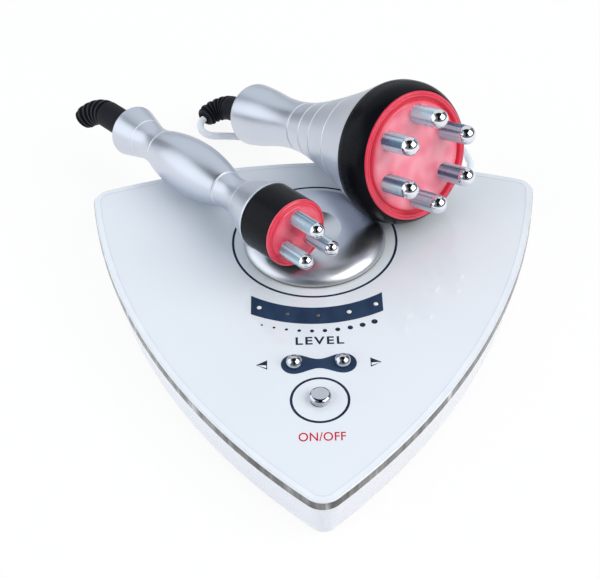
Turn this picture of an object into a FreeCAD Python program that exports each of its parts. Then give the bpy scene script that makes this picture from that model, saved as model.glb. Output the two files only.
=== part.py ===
import FreeCAD, Part
import math
import os

os.makedirs("parts", exist_ok=True)
Vec = FreeCAD.Vector

# Base seen from above: the origin is on the holder disc's axis, on the plane of the underside
base_height = 22.0        # underside to the top of the glass
rear_edge = 51.6          # disc axis to the middle of the rear edge
rear_bow = 272.0          # radius of the rear edge
corner_reach = 95.8       # disc axis to a rear corner, before rounding
tip_reach = 137.7         # disc axis to the front tip, before rounding
side_bow = 263.8          # radius of the two side edges
corner_radius = 8.0
tip_radius = 8.4

# Glass, backing panel and housing
glass_thickness = 4.0
glass_chamfer = 0.5
panel_thickness = 1.0
panel_gap = 0.2
housing_top_inset = 0.6   # glass edge to the housing's top edge
housing_draft = 2.4       # how much further in the housing's bottom edge is
housing_wall = 2.4
housing_round = 2.0
cover_thickness = 2.5
cover_gap = 0.2

# Screw bosses, screws and feet
boss_radius = 5.5
boss_bite = 1.1           # how far a boss runs into the wall
boss_rear_offset = 82.0
boss_side_share = 0.82    # share of the side edge, from the rear corner to the tip
screw_radius = 1.5
screw_length = 9.0
screw_head_radius = 2.8
screw_head_height = 1.4
screw_head_sink = 0.3
screw_gap = 0.2
foot_radius = 6.0
foot_proud = 2.0
foot_sunk = 1.0
foot_round = 0.8
foot_gap = 0.1
foot_rear_offset = 70.0
foot_rear_inset = 20.0
foot_side_share = 0.70
foot_side_inset = 17.0

# Holder disc
disc_radius = 29.5
disc_height = 6.9         # above the glass, gasket included
disc_edge = 0.8
disc_crown_radius = 22.0
disc_crown_drop = 1.1
disc_shoulder = (0.76, 0.65)   # where the rounded edge passes, as shares of its width and height
disc_crown_bulge = 0.32        # share of the crown's drop lost half way out
dimple_radius = 11.0
dimple_depth = 2.7
gasket_radius = 29.0
gasket_thickness = 0.5

# Indicator window: a strip between two arcs about one centre
window_centre_y = 7.7
window_inner = 47.8
window_outer = 56.8
window_half_width = 26.1
window_gap = 0.1
led_count = 5
led_arc = 52.2
led_step = 13.2           # degrees between indicator LEDs
led_radius = 1.5
led_gap = 0.3             # LED top to the window

# Buttons
button_row_y = -70.2
button_pitch = 18.6       # between the two step buttons
step_button_radius = 3.1
power_button_y = -88.3
power_button_radius = 4.1
power_button_stem = 3.4
power_button_proud = 3.2
power_button_flare = (1.0, 2.0)   # heights above the glass between which the stem widens
power_button_round = 0.5
step_button_collar = 0.6  # straight part under the ball top
button_gap = 0.25         # button to its hole
button_flange = 1.3
button_flange_thickness = 1.0
button_rest_gap = 0.3     # flange to the panel, and button to switch when pressed
button_travel = 0.8
switch_width = 6.0
switch_height = 2.6       # plunger included
switch_plunger_radius = 1.7
switch_plunger_height = 0.6

# Boards and what they carry
board_thickness = 1.6
control_board_half_width = 26.0
control_board_front = -93.0
control_board_rear = -32.0
rf_standoff_height = 3.0
rf_board_half_width = 45.0
rf_board_front = -26.0
rf_board_rear = 32.0
standoff_radius = 2.5
standoff_margin = 4.0     # standoff axis to the board's edges
core_size = (26.0, 20.0)
core_headroom = 1.9       # top of the core to the panel
core_place = (-24.0, 6.0)
core_plate = 2.0
core_leg = 4.0
winding_radius = 6.5
capacitor_radius = 4.0
capacitor_headroom = 1.5
capacitor_places = ((-2.0, -14.0), (9.0, -14.0), (20.0, -14.0))
sink_size = (30.0, 22.0)
sink_place = (22.0, 12.0)
sink_base = 2.0
sink_fins = 6
sink_headroom = 1.9
sink_fin_width = 1.4
buzzer_radius = 6.0
buzzer_headroom = 0.6
buzzer_place = (-18.0, -86.0)

# Rear sockets: on the rear wall, square to it
socket_offset = 68.0
socket_cover_gap = 0.5    # socket body to the cover below it
socket_panel_gap = 2.0    # socket body to the panel above it
socket_face_depth = 0.9   # depth of the spot face in the wall
socket_face_gap = 0.3
socket_flange_width = 1.2
socket_flange_thickness = 1.5
socket_body_length = 10.0
socket_hole_gap = 0.15
socket_barrel_step = 0.6  # socket body to the narrower barrel
socket_barrel_length = 8.0
socket_barrel_wall = 1.4
socket_floor = 1.0        # flange to the floor of the bore
socket_contact_radius = 0.6
socket_contact_share = 0.5    # contact circle, as a share of the bore
socket_contact_depth = 3.0
socket_contacts = 4
inlet_bezel_radius = 5.5
inlet_bezel_thickness = 0.8
inlet_body_radius = 4.6
inlet_body_length = 12.0
inlet_bore_radius = 2.9
inlet_bore_depth = 9.5
inlet_pin_radius = 1.05
inlet_pin_sink = 1.0      # pin's end to the inlet's mouth

# Handpieces: where the lens is in plan, the heading (degrees right of straight ahead), and the
# height above the disc and the upward tilt from which each is lowered onto the base
large_lens_place = (42.1, 11.3)
large_heading = 38.88
large_lens_rise = 28.5
large_tilt = 20.2
small_lens_place = (-7.66, -21.78)
small_heading = 38.17
small_lens_rise = 18.0
small_tilt = 8.2
rest_gap = 0.3            # handpiece to what it lies on
fit_gap = 0.1             # between pieces of a handpiece

# Large handpiece: points of its outline are a radius and a station behind the lens face, or where
# the name says rear a radius and a distance from the tail's end
large_lens_radius = 26.5
large_lip_width = 2.6
large_lip_round = 0.5
large_lens_recess = 3.0
large_lens_floor = 2.0
large_rim_start = 0.5     # lens face to the front of the rim
large_rim_wall = 1.0      # thickness of the rim's front edge
large_rim_radius = 29.7
large_rim_widest = (9.0, 12.0)     # stations between which the rim is widest
large_rim_bulge = (0.68, 0.4)      # where the front curve passes, as shares of its width and length
large_rim_length = 14.5
large_rim_shoulder = 2.6  # width of the shoulder behind the lens
large_spigot_length = 4.0
large_spigot_wall = 2.2
large_horn_radius = 29.2
large_horn_middle = (21.0, 36.0)
large_waist_start = (13.9, 60.0)
large_waist_radius = 11.0
large_waist_rear = (12.6, 16.0)
large_flare_rear = (13.6, 9.5)
large_tail_radius = 14.4
large_tail_round = 2.0
large_length = 116.0
large_grooves = (37.1, 52.7, 63.7, 74.0)
groove_half_width = 0.6
groove_depth = 0.45
large_bore_radius = 6.0
large_cavity_depth = 24.0          # depth of the hollow behind the rim
large_electrode_radius = 3.75
large_electrode_pitch = 17.35
large_electrode_reach = 13.0       # lens face to the centre of the ball end
large_electrode_phase = 134.4
large_electrodes = 6
electrode_boss_width = 1.7
electrode_boss_height = 0.8
electrode_flange = 1.2
electrode_flange_thickness = 1.5
electrode_stud_radius = 1.6
lamp_radius = 2.0
lamp_gap = 0.3            # lamp to the back of the lens
large_lamp_pitch = 9.0
large_lamps = 6

# Small handpiece: points as on the large one
small_lens_radius = 14.1
small_lens_edge = 1.5
small_lip_width = 1.3
small_lip_round = 0.5
small_lens_recess = 0.8
small_lens_spigot = 12.4
small_lens_depth = 5.0
small_collar_radius = 14.2
small_collar_end = 16.6
small_spigot_length = 6.8
small_spigot_wall = 2.0
small_bore_radius = 4.0
small_cavity_depth = 8.0
small_cup_radius = 14.6
small_cup_edge = 1.0
small_cup_middle = (12.3, 24.2)
small_cup_foot = (9.6, 31.4)
small_neck_start = (8.9, 32.2)
small_neck = (7.3, 40.0)
small_bulb_start = (7.9, 47.0)
small_bulb_radius = 12.0
small_bulb_crest = 0.567  # where the bulb is widest, as a share of its length
small_bulb_rear = (9.4, 27.5)
small_waist_rear = (8.0, 19.5)
small_cap_rear = (8.9, 12.3)
small_cap_middle_rear = (10.0, 7.7)
small_cap_spigot = (5.5, 6.0)      # radius and length
small_tail_radius = 11.5
small_tail_round = 1.6
small_length = 119.5
small_neck_groove = 46.4
small_groove_rear = 26.7
small_electrode_radius = 3.1
small_electrode_pitch = 7.45
small_electrode_reach = 14.0
small_electrode_phase = 206.6
small_electrodes = 3

# Strain reliefs: a plain sleeve, then tapering ribs on a bend
gland_radius = 7.0
gland_length = 5.0
relief_radius = 5.8
relief_tip_radius = 4.4
relief_groove = 1.1       # how deep the grooves between the ribs are
relief_ribs = 6
relief_rib_shares = (0.1, 0.4, 0.5, 1.0)  # along a rib: groove from and to, crest from and to
relief_bore_depth = 4.0
large_relief_sleeve = 20.0
large_relief_bend_radius = 9.0
large_relief_turn_angle = 105.0
large_relief_droop_angle = 11.0
small_relief_sleeve = 21.0
small_relief_bend_radius = 18.0
small_relief_turn_angle = 62.0
small_relief_droop_angle = 45.0

# Cord of the large handpiece
cord_diameter = 3.4
cord_floor_gap = 0.05
cord_end_gap = 0.3        # cord to the strain relief, which lifts away from it
cord_bend_share = 0.45    # share of a run that a bend takes up
plug_gap = 0.15
plug_ring_wall = 1.05
plug_ring_length = 9.0
plug_spigot_length = 4.0
plug_boot_length = 6.0
plug_boot_step = 2.4      # ring to the start of the boot
plug_boot_tip = 2.4
plug_exit_run = 6.5       # straight runs where the cord leaves the plug, the coil and the relief
coil_entry_run = 6.0
coil_exit_run = 8.0
relief_exit_run = 4.4
coil_offset = 40.0
coil_rear_gap = 11.9      # rear edge to the outer turn
coil_outer = 27.8         # radius of the outer turn
coil_pitch = 3.9
coil_start_angle = 20.0
coil_end_angle = 90.0
coil_turns = 8            # whole turns, in two layers
tie_angle = 215.0
tie_width = 5.0
tie_thickness = 0.5
tie_gap = 0.15
tie_round = 1.2
tie_lock = (3.0, 1.6, 4.0)        # depth, overhang on each side and height of the lock

# Places worked out from the sizes above
floor_z = -foot_proud
glass_bottom = base_height - glass_thickness
panel_bottom = glass_bottom - panel_thickness
button_flange_top = panel_bottom - button_rest_gap
button_bottom = button_flange_top - button_flange_thickness
switch_top = button_bottom - button_travel - button_rest_gap
control_board_top = switch_top - switch_height
rf_board_top = cover_thickness + rf_standoff_height + board_thickness
socket_body_radius = (panel_bottom - cover_thickness - socket_cover_gap - socket_panel_gap) / 2
socket_height = cover_thickness + socket_cover_gap + socket_body_radius
socket_flange_radius = socket_body_radius + socket_flange_width
socket_barrel_radius = socket_body_radius - socket_barrel_step
socket_bore_radius = socket_barrel_radius - socket_barrel_wall
housing_bottom_inset = housing_top_inset + housing_draft
corner_y = rear_edge - rear_bow + math.sqrt(rear_bow**2 - corner_reach**2)
rear_centre = Vec(0, rear_edge - rear_bow, 0)


def save(name, shape):
    solids = shape.Solids
    print(name, len(solids), "solids", round(sum(s.Volume for s in solids), 1), "mm3", shape.isValid())
    shape.exportStep("parts/" + name + ".step")


def cylinder(radius, z_low, z_high, x=0.0, y=0.0):
    return Part.makeCylinder(radius, z_high - z_low, Vec(x, y, z_low))


def block(x_low, x_high, y_low, y_high, z_low, z_high):
    return Part.makeBox(x_high - x_low, y_high - y_low, z_high - z_low, Vec(x_low, y_low, z_low))


def turned(profile):
    """Solid of revolution about Z. A profile item is (radius, station) for a straight
    step, or (radius, station, radius, station) for an arc through the first to the second."""
    edges = []
    first = Vec(profile[0][0], 0, -profile[0][1])
    here = first
    for item in profile[1:] + profile[:1]:
        there = Vec(item[-2], 0, -item[-1])
        if (there - here).Length < 1e-6:
            continue
        if len(item) == 4:
            edges.append(Part.Arc(here, Vec(item[0], 0, -item[1]), there).toShape())
        else:
            edges.append(Part.LineSegment(here, there).toShape())
        here = there
    face = Part.Face(Part.Wire(edges))
    return face.revolve(Vec(0, 0, 0), Vec(0, 0, 1), 360)


def arc_radius_at(start, middle, end, station):
    """Radius of a turned arc, given as three (radius, station) points, at one station."""
    arc = Part.Arc(Vec(start[0], 0, start[1]), Vec(middle[0], 0, middle[1]), Vec(end[0], 0, end[1]))
    centre, size = arc.toShape().Curve.Center, arc.toShape().Curve.Radius
    side = 1 if middle[0] > centre.x else -1
    return centre.x + side * math.sqrt(size**2 - (station - centre.z)**2)


def groove(radius, station):
    outside = radius + groove_depth
    return turned([(radius - groove_depth, station), (outside, station - groove_half_width),
                   (outside, station + groove_half_width)])


def framed(centre, along, across):
    """Placement whose Z is along and whose X is across."""
    up = along.cross(across)
    matrix = FreeCAD.Matrix(across.x, up.x, along.x, centre.x, across.y, up.y, along.y, centre.y,
                            across.z, up.z, along.z, centre.z, 0, 0, 0, 1)
    return FreeCAD.Placement(matrix)


def heading_frame(centre, heading, tilt):
    turn, rise = math.radians(heading), math.radians(tilt)
    along = Vec(math.sin(turn) * math.cos(rise), -math.cos(turn) * math.cos(rise), math.sin(rise))
    across = Vec(-along.y, along.x, 0)
    across.normalize()
    return framed(centre, along, across)


def placed(shape, placement):
    moved = shape.copy()
    moved.Placement = placement.multiply(shape.Placement)
    return moved


def ring_places(count, radius, phase=0.0):
    angles = [math.radians(phase + 360.0 * i / count) for i in range(count)]
    return [(radius * math.cos(a), radius * math.sin(a)) for a in angles]


# Outline of the base: three arcs with rounded corners

def side_centre():
    corner, tip = Vec(corner_reach, corner_y, 0), Vec(0, -tip_reach, 0)
    middle, chord = (corner + tip) * 0.5, tip - corner
    inward = Vec(chord.y, -chord.x, 0)
    inward.normalize()
    return middle + inward * math.sqrt(side_bow**2 - (chord.Length / 2)**2)


def rear_point(offset, inset):
    """Point of the rear edge, moved in by an inset, and the outward direction there."""
    out = Vec(offset / rear_bow, math.sqrt(1 - (offset / rear_bow)**2), 0)
    return rear_centre + out * (rear_bow - inset), out


def side_point(share, inset):
    centre = side_centre()
    begin = math.atan2(corner_y - centre.y, corner_reach - centre.x)
    end = math.atan2(-tip_reach - centre.y, -centre.x)
    angle = begin + share * (end - begin)
    return centre + Vec(math.cos(angle), math.sin(angle), 0) * (side_bow - inset)


def mirrored(point):
    return Vec(-point.x, point.y, point.z)


def crossing(centre_a, radius_a, centre_b, radius_b):
    """The crossing of two circles that lies to the right of the line from the first to the second."""
    line = centre_b - centre_a
    reach = (radius_a**2 - radius_b**2 + line.Length**2) / (2 * line.Length)
    aside = math.sqrt(radius_a**2 - reach**2)
    line.normalize()
    return centre_a + line * reach + Vec(line.y, -line.x, 0) * aside


def unit(vector):
    return vector * (1 / vector.Length)


def outline(inset, z):
    """Wire of the base's outline, moved in by an inset: three arcs joined by rounded corners."""
    right, left = side_centre(), mirrored(side_centre())
    corner = crossing(rear_centre, rear_bow - corner_radius, right, side_bow - corner_radius)
    tip = crossing(right, side_bow - tip_radius, left, side_bow - tip_radius)
    corner_rear, corner_side, tip_side = unit(corner - rear_centre), unit(corner - right), unit(tip - right)
    rear_end = rear_centre + corner_rear * (rear_bow - inset)
    side_start = right + corner_side * (side_bow - inset)
    side_end = right + tip_side * (side_bow - inset)
    corner_middle = corner + unit(corner_rear + corner_side) * (corner_radius - inset)
    side_middle = right + unit(corner_side + tip_side) * (side_bow - inset)
    rear_middle = Vec(0, rear_edge - inset, 0)
    tip_middle = tip + Vec(0, inset - tip_radius, 0)
    arcs = [(mirrored(rear_end), rear_middle, rear_end), (rear_end, corner_middle, side_start),
            (side_start, side_middle, side_end), (side_end, tip_middle, mirrored(side_end)),
            (mirrored(side_end), mirrored(side_middle), mirrored(side_start)),
            (mirrored(side_start), mirrored(corner_middle), mirrored(rear_end))]
    wire = Part.Wire([Part.Arc(*points).toShape() for points in arcs])
    wire.translate(Vec(0, 0, z))
    return wire


def slab(inset, z_low, z_high):
    return Part.Face(outline(inset, z_low)).extrude(Vec(0, 0, z_high - z_low))


boss_inset = housing_bottom_inset + housing_wall + boss_radius - boss_bite
boss_places = [rear_point(boss_rear_offset, boss_inset)[0], side_point(boss_side_share, boss_inset)]
boss_places += [mirrored(p) for p in boss_places]
foot_places = [rear_point(foot_rear_offset, foot_rear_inset)[0],
               side_point(foot_side_share, foot_side_inset)]
foot_places += [mirrored(p) for p in foot_places]
button_places = {"minus_button": (-button_pitch / 2, button_row_y),
                 "plus_button": (button_pitch / 2, button_row_y),
                 "power_button": (0.0, power_button_y)}
button_radii = {"minus_button": step_button_radius, "plus_button": step_button_radius,
                "power_button": power_button_stem}


def wall_inset(z):
    return housing_bottom_inset - housing_draft * z / glass_bottom


def rear_frame(offset):
    """Frame on the rear wall: Z points out of the base, X runs along the wall."""
    point, out = rear_point(offset, wall_inset(socket_height))
    return framed(point + Vec(0, 0, socket_height), out, Vec(-out.y, out.x, 0))


# Base housing: a drafted shell, open above and below, with screw bosses and socket holes

def make_housing():
    outer = Part.makeLoft([outline(housing_bottom_inset, 0), outline(housing_top_inset, glass_bottom)],
                          True, True)
    under = [e for e in outer.Edges if e.BoundBox.ZMax < 1e-6]
    outer = outer.makeFillet(housing_round, under)
    inner = Part.makeLoft([outline(housing_bottom_inset + housing_wall, 0),
                           outline(housing_top_inset + housing_wall, glass_bottom)], True, True)
    shell = outer.cut(inner)
    bosses = [cylinder(boss_radius, cover_thickness, panel_bottom, p.x, p.y) for p in boss_places]
    bosses = [b.common(outer) for b in bosses]
    shell = shell.fuse(bosses).removeSplitter()
    pilots = [cylinder(screw_radius, cover_thickness, cover_thickness + screw_length, p.x, p.y)
              for p in boss_places]
    shell = shell.cut(Part.makeCompound(pilots))
    deep = housing_wall * 3
    for offset in (socket_offset, -socket_offset):
        spot = cylinder(socket_flange_radius + socket_face_gap, -socket_face_depth, deep)
        hole = cylinder(socket_body_radius + socket_hole_gap, -deep, deep)
        shell = shell.cut(placed(spot.fuse(hole), rear_frame(offset)))
    inlet_hole = cylinder(inlet_body_radius + socket_hole_gap, -deep, deep)
    inlet_spot = cylinder(inlet_bezel_radius + socket_face_gap, -socket_face_depth, deep)
    return shell.cut(placed(inlet_hole.fuse(inlet_spot), rear_frame(0)))


def make_cover():
    cover = slab(housing_bottom_inset + housing_wall + cover_gap, 0, cover_thickness)
    head_room = screw_head_sink + screw_head_height
    cuts = [cylinder(screw_radius + screw_gap, 0, cover_thickness, p.x, p.y) for p in boss_places]
    cuts += [cylinder(screw_head_radius + screw_gap, 0, head_room, p.x, p.y) for p in boss_places]
    cuts += [cylinder(foot_radius + foot_gap, 0, foot_sunk, p.x, p.y) for p in foot_places]
    return cover.cut(Part.makeCompound(cuts))


def make_cover_screws():
    head_top = screw_head_sink + screw_head_height
    screws = []
    for p in boss_places:
        head = cylinder(screw_head_radius, screw_head_sink, head_top, p.x, p.y)
        shank = cylinder(screw_radius, head_top, cover_thickness + screw_length, p.x, p.y)
        screws.append(head.fuse(shank).removeSplitter())
    return Part.makeCompound(screws)


def make_feet():
    feet = []
    for p in foot_places:
        foot = cylinder(foot_radius, floor_z, foot_sunk, p.x, p.y)
        under = [e for e in foot.Edges if e.BoundBox.ZMax < floor_z + 1e-6]
        feet.append(foot.makeFillet(foot_round, under))
    return Part.makeCompound(feet)


def button_holes(z_low, z_high):
    holes = [cylinder(button_radii[name] + button_gap, z_low, z_high, *place)
             for name, place in button_places.items()]
    return Part.makeCompound(holes)


def make_glass():
    glass = slab(0, glass_bottom, base_height)
    upper = [e for e in glass.Edges if e.BoundBox.ZMin > base_height - 1e-6]
    glass = glass.makeChamfer(glass_chamfer, upper)
    return glass.cut(button_holes(glass_bottom, base_height))


def window_strip(grow):
    half = window_half_width + grow
    ring = cylinder(window_outer + grow, panel_bottom, glass_bottom, 0, window_centre_y)
    ring = ring.cut(cylinder(window_inner - grow, panel_bottom, glass_bottom, 0, window_centre_y))
    reach = window_centre_y - window_outer - 2 * grow
    return ring.common(block(-half, half, reach, 0, panel_bottom, glass_bottom))


def make_panel():
    panel = slab(housing_top_inset + housing_wall + panel_gap, panel_bottom, glass_bottom)
    return panel.cut(button_holes(panel_bottom, glass_bottom)).cut(window_strip(window_gap))


# Holder disc: a low dome with a dished centre, on a thin gasket

def make_disc():
    low, top = base_height + gasket_thickness, base_height + disc_height
    crown = top - disc_crown_drop
    edge = base_height + disc_edge
    shoulder_r = disc_crown_radius + disc_shoulder[0] * (disc_radius - disc_crown_radius)
    shoulder_z = edge + disc_shoulder[1] * (crown - edge)
    crown_r = (disc_crown_radius + dimple_radius) / 2
    crown_z = top - disc_crown_drop * disc_crown_bulge
    dish_z = top - dimple_depth
    dish_size = (dimple_radius**2 + dimple_depth**2) / (2 * dimple_depth)
    dish_middle = dish_z + dish_size - math.sqrt(dish_size**2 - (dimple_radius / 2)**2)
    return turned([(0, -low), (disc_radius, -low), (disc_radius, -edge),
                   (shoulder_r, -shoulder_z, disc_crown_radius, -crown),
                   (crown_r, -crown_z, dimple_radius, -top),
                   (dimple_radius / 2, -dish_middle, 0, -dish_z)])


def make_gasket():
    return cylinder(gasket_radius, base_height, base_height + gasket_thickness)


# Buttons: a stem in the glass, a retaining flange under the panel and a polished top

def make_button(name):
    radius, (x, y) = button_radii[name], button_places[name]
    flange = cylinder(radius + button_flange, button_bottom, button_flange_top, x, y)
    if name == "power_button":
        head, top = power_button_radius, base_height + power_button_proud
        slant = power_button_round * (1 - math.sqrt(0.5))
        low, high = [base_height + height for height in power_button_flare]
        stem = turned([(0, -button_flange_top), (radius, -button_flange_top), (radius, -low), (head, -high),
                       (head, power_button_round - top),
                       (head - slant, slant - top, head - power_button_round, -top), (0, -top)])
        stem.translate(Vec(x, y, 0))
    else:
        spring_line = base_height + step_button_collar
        stem = cylinder(radius, button_flange_top, spring_line, x, y)
        ball = Part.makeSphere(radius, Vec(x, y, spring_line), Vec(0, 0, 1), 0, 90, 360)
        stem = stem.fuse(ball)
    return stem.fuse(flange).removeSplitter()


def make_switches():
    half, case_top = switch_width / 2, switch_top - switch_plunger_height
    switches = []
    for x, y in button_places.values():
        case = block(x - half, x + half, y - half, y + half, control_board_top, case_top)
        plunger = cylinder(switch_plunger_radius, case_top, switch_top, x, y)
        switches.append(case.fuse(plunger).removeSplitter())
    return Part.makeCompound(switches)


# Boards and their parts

def make_control_board():
    half = control_board_half_width
    return block(-half, half, control_board_front, control_board_rear,
                 control_board_top - board_thickness, control_board_top)


def make_rf_board():
    half = rf_board_half_width
    return block(-half, half, rf_board_front, rf_board_rear, rf_board_top - board_thickness, rf_board_top)


def make_standoffs():
    posts = []
    boards = ((control_board_half_width, control_board_front, control_board_rear, control_board_top),
              (rf_board_half_width, rf_board_front, rf_board_rear, rf_board_top))
    for half, front, rear, top in boards:
        for x in (-half + standoff_margin, half - standoff_margin):
            for y in (front + standoff_margin, rear - standoff_margin):
                posts.append(cylinder(standoff_radius, cover_thickness, top - board_thickness, x, y))
    return Part.makeCompound(posts)


def make_indicator_leds():
    top = panel_bottom - led_gap
    leds = []
    for i in range(led_count):
        angle = math.radians((i - (led_count - 1) / 2) * led_step)
        x, y = led_arc * math.sin(angle), window_centre_y - led_arc * math.cos(angle)
        stem = cylinder(led_radius, control_board_top, top - led_radius, x, y)
        dome = Part.makeSphere(led_radius, Vec(x, y, top - led_radius), Vec(0, 0, 1), 0, 90, 360)
        leds.append(stem.fuse(dome).removeSplitter())
    return Part.makeCompound(leds)


def make_transformer():
    (width, depth), (x, y) = core_size, core_place
    low, high = rf_board_top, panel_bottom - core_headroom
    left, right, front, rear = x - width / 2, x + width / 2, y - depth / 2, y + depth / 2
    core = block(left, right, front, rear, low, low + core_plate)
    core = core.fuse(block(left, left + core_leg, front, rear, low, high))
    core = core.fuse(block(right - core_leg, right, front, rear, low, high))
    return core.fuse(cylinder(winding_radius, low, high, x, y)).removeSplitter()


def make_capacitors():
    return Part.makeCompound([cylinder(capacitor_radius, rf_board_top, panel_bottom - capacitor_headroom, *p)
                              for p in capacitor_places])


def make_heat_sink():
    (width, depth), (x, y) = sink_size, sink_place
    low, mid, high = rf_board_top, rf_board_top + sink_base, panel_bottom - sink_headroom
    front, rear = y - depth / 2, y + depth / 2
    sink = block(x - width / 2, x + width / 2, front, rear, low, mid)
    step = (width - sink_fin_width) / (sink_fins - 1)
    for i in range(sink_fins):
        left = x - width / 2 + i * step
        sink = sink.fuse(block(left, left + sink_fin_width, front, rear, mid, high))
    return sink.removeSplitter()


def make_buzzer():
    return cylinder(buzzer_radius, control_board_top, panel_bottom - buzzer_headroom, *buzzer_place)


# Rear sockets and inlet, built along Z and set square on the rear wall

def make_socket(offset):
    seat = -socket_face_depth
    front = seat + socket_flange_thickness
    mouth = front + socket_barrel_length
    floor = front + socket_floor
    socket = cylinder(socket_flange_radius, seat, front)
    socket = socket.fuse(cylinder(socket_barrel_radius, front, mouth))
    socket = socket.fuse(cylinder(socket_body_radius, seat - socket_body_length, seat))
    socket = socket.cut(cylinder(socket_bore_radius, floor, mouth))
    for x, y in ring_places(socket_contacts, socket_bore_radius * socket_contact_share):
        socket = socket.cut(cylinder(socket_contact_radius, floor - socket_contact_depth, floor, x, y))
    return placed(socket.removeSplitter(), rear_frame(offset))


def make_inlet():
    seat = -socket_face_depth
    mouth = seat + inlet_bezel_thickness
    floor = mouth - inlet_bore_depth
    inlet = cylinder(inlet_bezel_radius, seat, mouth)
    inlet = inlet.fuse(cylinder(inlet_body_radius, seat - inlet_body_length, seat))
    inlet = inlet.cut(cylinder(inlet_bore_radius, floor, mouth))
    inlet = inlet.fuse(cylinder(inlet_pin_radius, floor, mouth - inlet_pin_sink))
    return placed(inlet.removeSplitter(), rear_frame(0))


# Pieces that both handpieces have

def round_end(radius, station):
    """Arc step from the axis at a ball's nose to its full radius."""
    slant = radius * math.sqrt(0.5)
    return [(0, station - radius), (slant, station - slant, radius, station)]


def tail_end(radius, length, rounding):
    """Steps from the full tail radius round the edge to the end face."""
    slant = rounding * (1 - math.sqrt(0.5))
    return [(radius - slant, length - slant, radius - rounding, length)]


def make_electrodes(radius, pitch, count, phase, reach, foot, stud_end):
    """Ball-ended electrodes: a flange behind the lens at station foot and a stud to the board."""
    flange, flange_end = radius + electrode_flange, foot + electrode_flange_thickness
    profile = round_end(radius, -reach) + [
        (radius, foot), (flange, foot), (flange, flange_end), (electrode_stud_radius, flange_end),
        (electrode_stud_radius, stud_end), (0, stud_end)]
    return [turned(profile).translated(Vec(x, y, 0)) for x, y in ring_places(count, pitch, phase)]


def make_lamps(places, nose, foot):
    """LEDs standing on a board at station foot, with round noses towards the lens."""
    profile = round_end(lamp_radius, nose + lamp_radius) + [(lamp_radius, foot), (0, foot)]
    return Part.makeCompound([turned(profile).translated(Vec(x, y, 0)) for x, y in places])


def disc_between(radius, front, back):
    return Part.makeCylinder(radius, back - front, Vec(0, 0, -back))


def drilled(shape, places, radius, front, back):
    return shape.cut(Part.makeCompound([disc_between(radius, front, back).translated(Vec(x, y, 0))
                                        for x, y in places]))


def from_tail(point, length):
    radius, distance = point
    return radius, length - distance


def grooved(shape, outline_points, stations):
    for station in stations:
        shape = shape.cut(groove(arc_radius_at(*outline_points, station), station))
    return shape


# Large handpiece: a turned horn-shaped handle with a black rim, a dished red lens and six electrodes

large_lens_back = large_lens_recess + large_lens_floor
large_rim_bore = large_lens_radius + fit_gap
large_rear_bore = large_rim_bore - large_rim_shoulder
large_spigot_front = large_rim_length - large_spigot_length
large_board_front = large_spigot_front - board_thickness
large_electrode_places = ring_places(large_electrodes, large_electrode_pitch, large_electrode_phase)
large_horn = ((large_horn_radius, large_rim_length), large_horn_middle, large_waist_start)
large_waist_end = from_tail(large_waist_rear, large_length)
large_waist = (large_waist_radius, (large_waist_start[1] + large_waist_end[1]) / 2)
large_flare_middle = from_tail(large_flare_rear, large_length)
large_waist_arc = (large_waist_start, large_waist, large_waist_end)


def make_large_lens():
    lip = large_lens_radius - large_lip_width
    edge = large_lip_round
    lens = turned([(0, large_lens_recess), (lip, large_lens_recess), (lip, edge), (lip + edge, 0),
                   (large_lens_radius - edge, 0), (large_lens_radius, edge),
                   (large_lens_radius, large_lens_back), (0, large_lens_back)])
    boss = large_electrode_radius + electrode_boss_width
    boss_front = large_lens_recess - electrode_boss_height
    for x, y in large_electrode_places:
        lens = lens.fuse(disc_between(boss, boss_front, large_lens_back).translated(Vec(x, y, 0)))
    return drilled(lens.removeSplitter(), large_electrode_places, large_electrode_radius + fit_gap,
                   boss_front, large_lens_back)


def make_large_rim():
    front = large_rim_bore + large_rim_wall
    widest_start, widest_end = large_rim_widest
    bulge_radius = front + large_rim_bulge[0] * (large_rim_radius - front)
    bulge_station = large_rim_start + large_rim_bulge[1] * (widest_start - large_rim_start)
    return turned([(large_rim_bore, large_rim_start), (front, large_rim_start),
                   (bulge_radius, bulge_station, large_rim_radius, widest_start),
                   (large_rim_radius, widest_end),
                   (large_horn_radius, large_rim_length), (large_rear_bore, large_rim_length),
                   (large_rear_bore, large_lens_back), (large_rim_bore, large_lens_back)])


def make_large_handle():
    spigot = large_rear_bore - fit_gap
    hollow = spigot - large_spigot_wall
    hollow_end = large_rim_length + large_cavity_depth
    gland_pocket = gland_radius + fit_gap
    gland_start = large_length - gland_length
    handle = turned([(spigot, large_spigot_front), (spigot, large_rim_length),
                     (large_horn_radius, large_rim_length), (*large_horn_middle, *large_waist_start),
                     (*large_waist, *large_waist_end),
                     (*large_flare_middle, large_tail_radius, large_length - large_tail_round)]
                    + tail_end(large_tail_radius, large_length, large_tail_round)
                    + [(gland_pocket, large_length), (gland_pocket, gland_start),
                       (large_bore_radius, gland_start), (large_bore_radius, hollow_end),
                       (hollow, large_rim_length), (hollow, large_spigot_front)])
    handle = grooved(handle, large_horn, [s for s in large_grooves if s < large_waist_start[1]])
    return grooved(handle, large_waist_arc, [s for s in large_grooves if s > large_waist_start[1]])


def make_gland(length):
    gland = disc_between(gland_radius, length - gland_length, length)
    return gland.cut(disc_between(cord_diameter / 2 + fit_gap, length - gland_length, length))


# Small handpiece: a turned handle with a cup, a neck, a bulb and a flared tail cap

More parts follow.
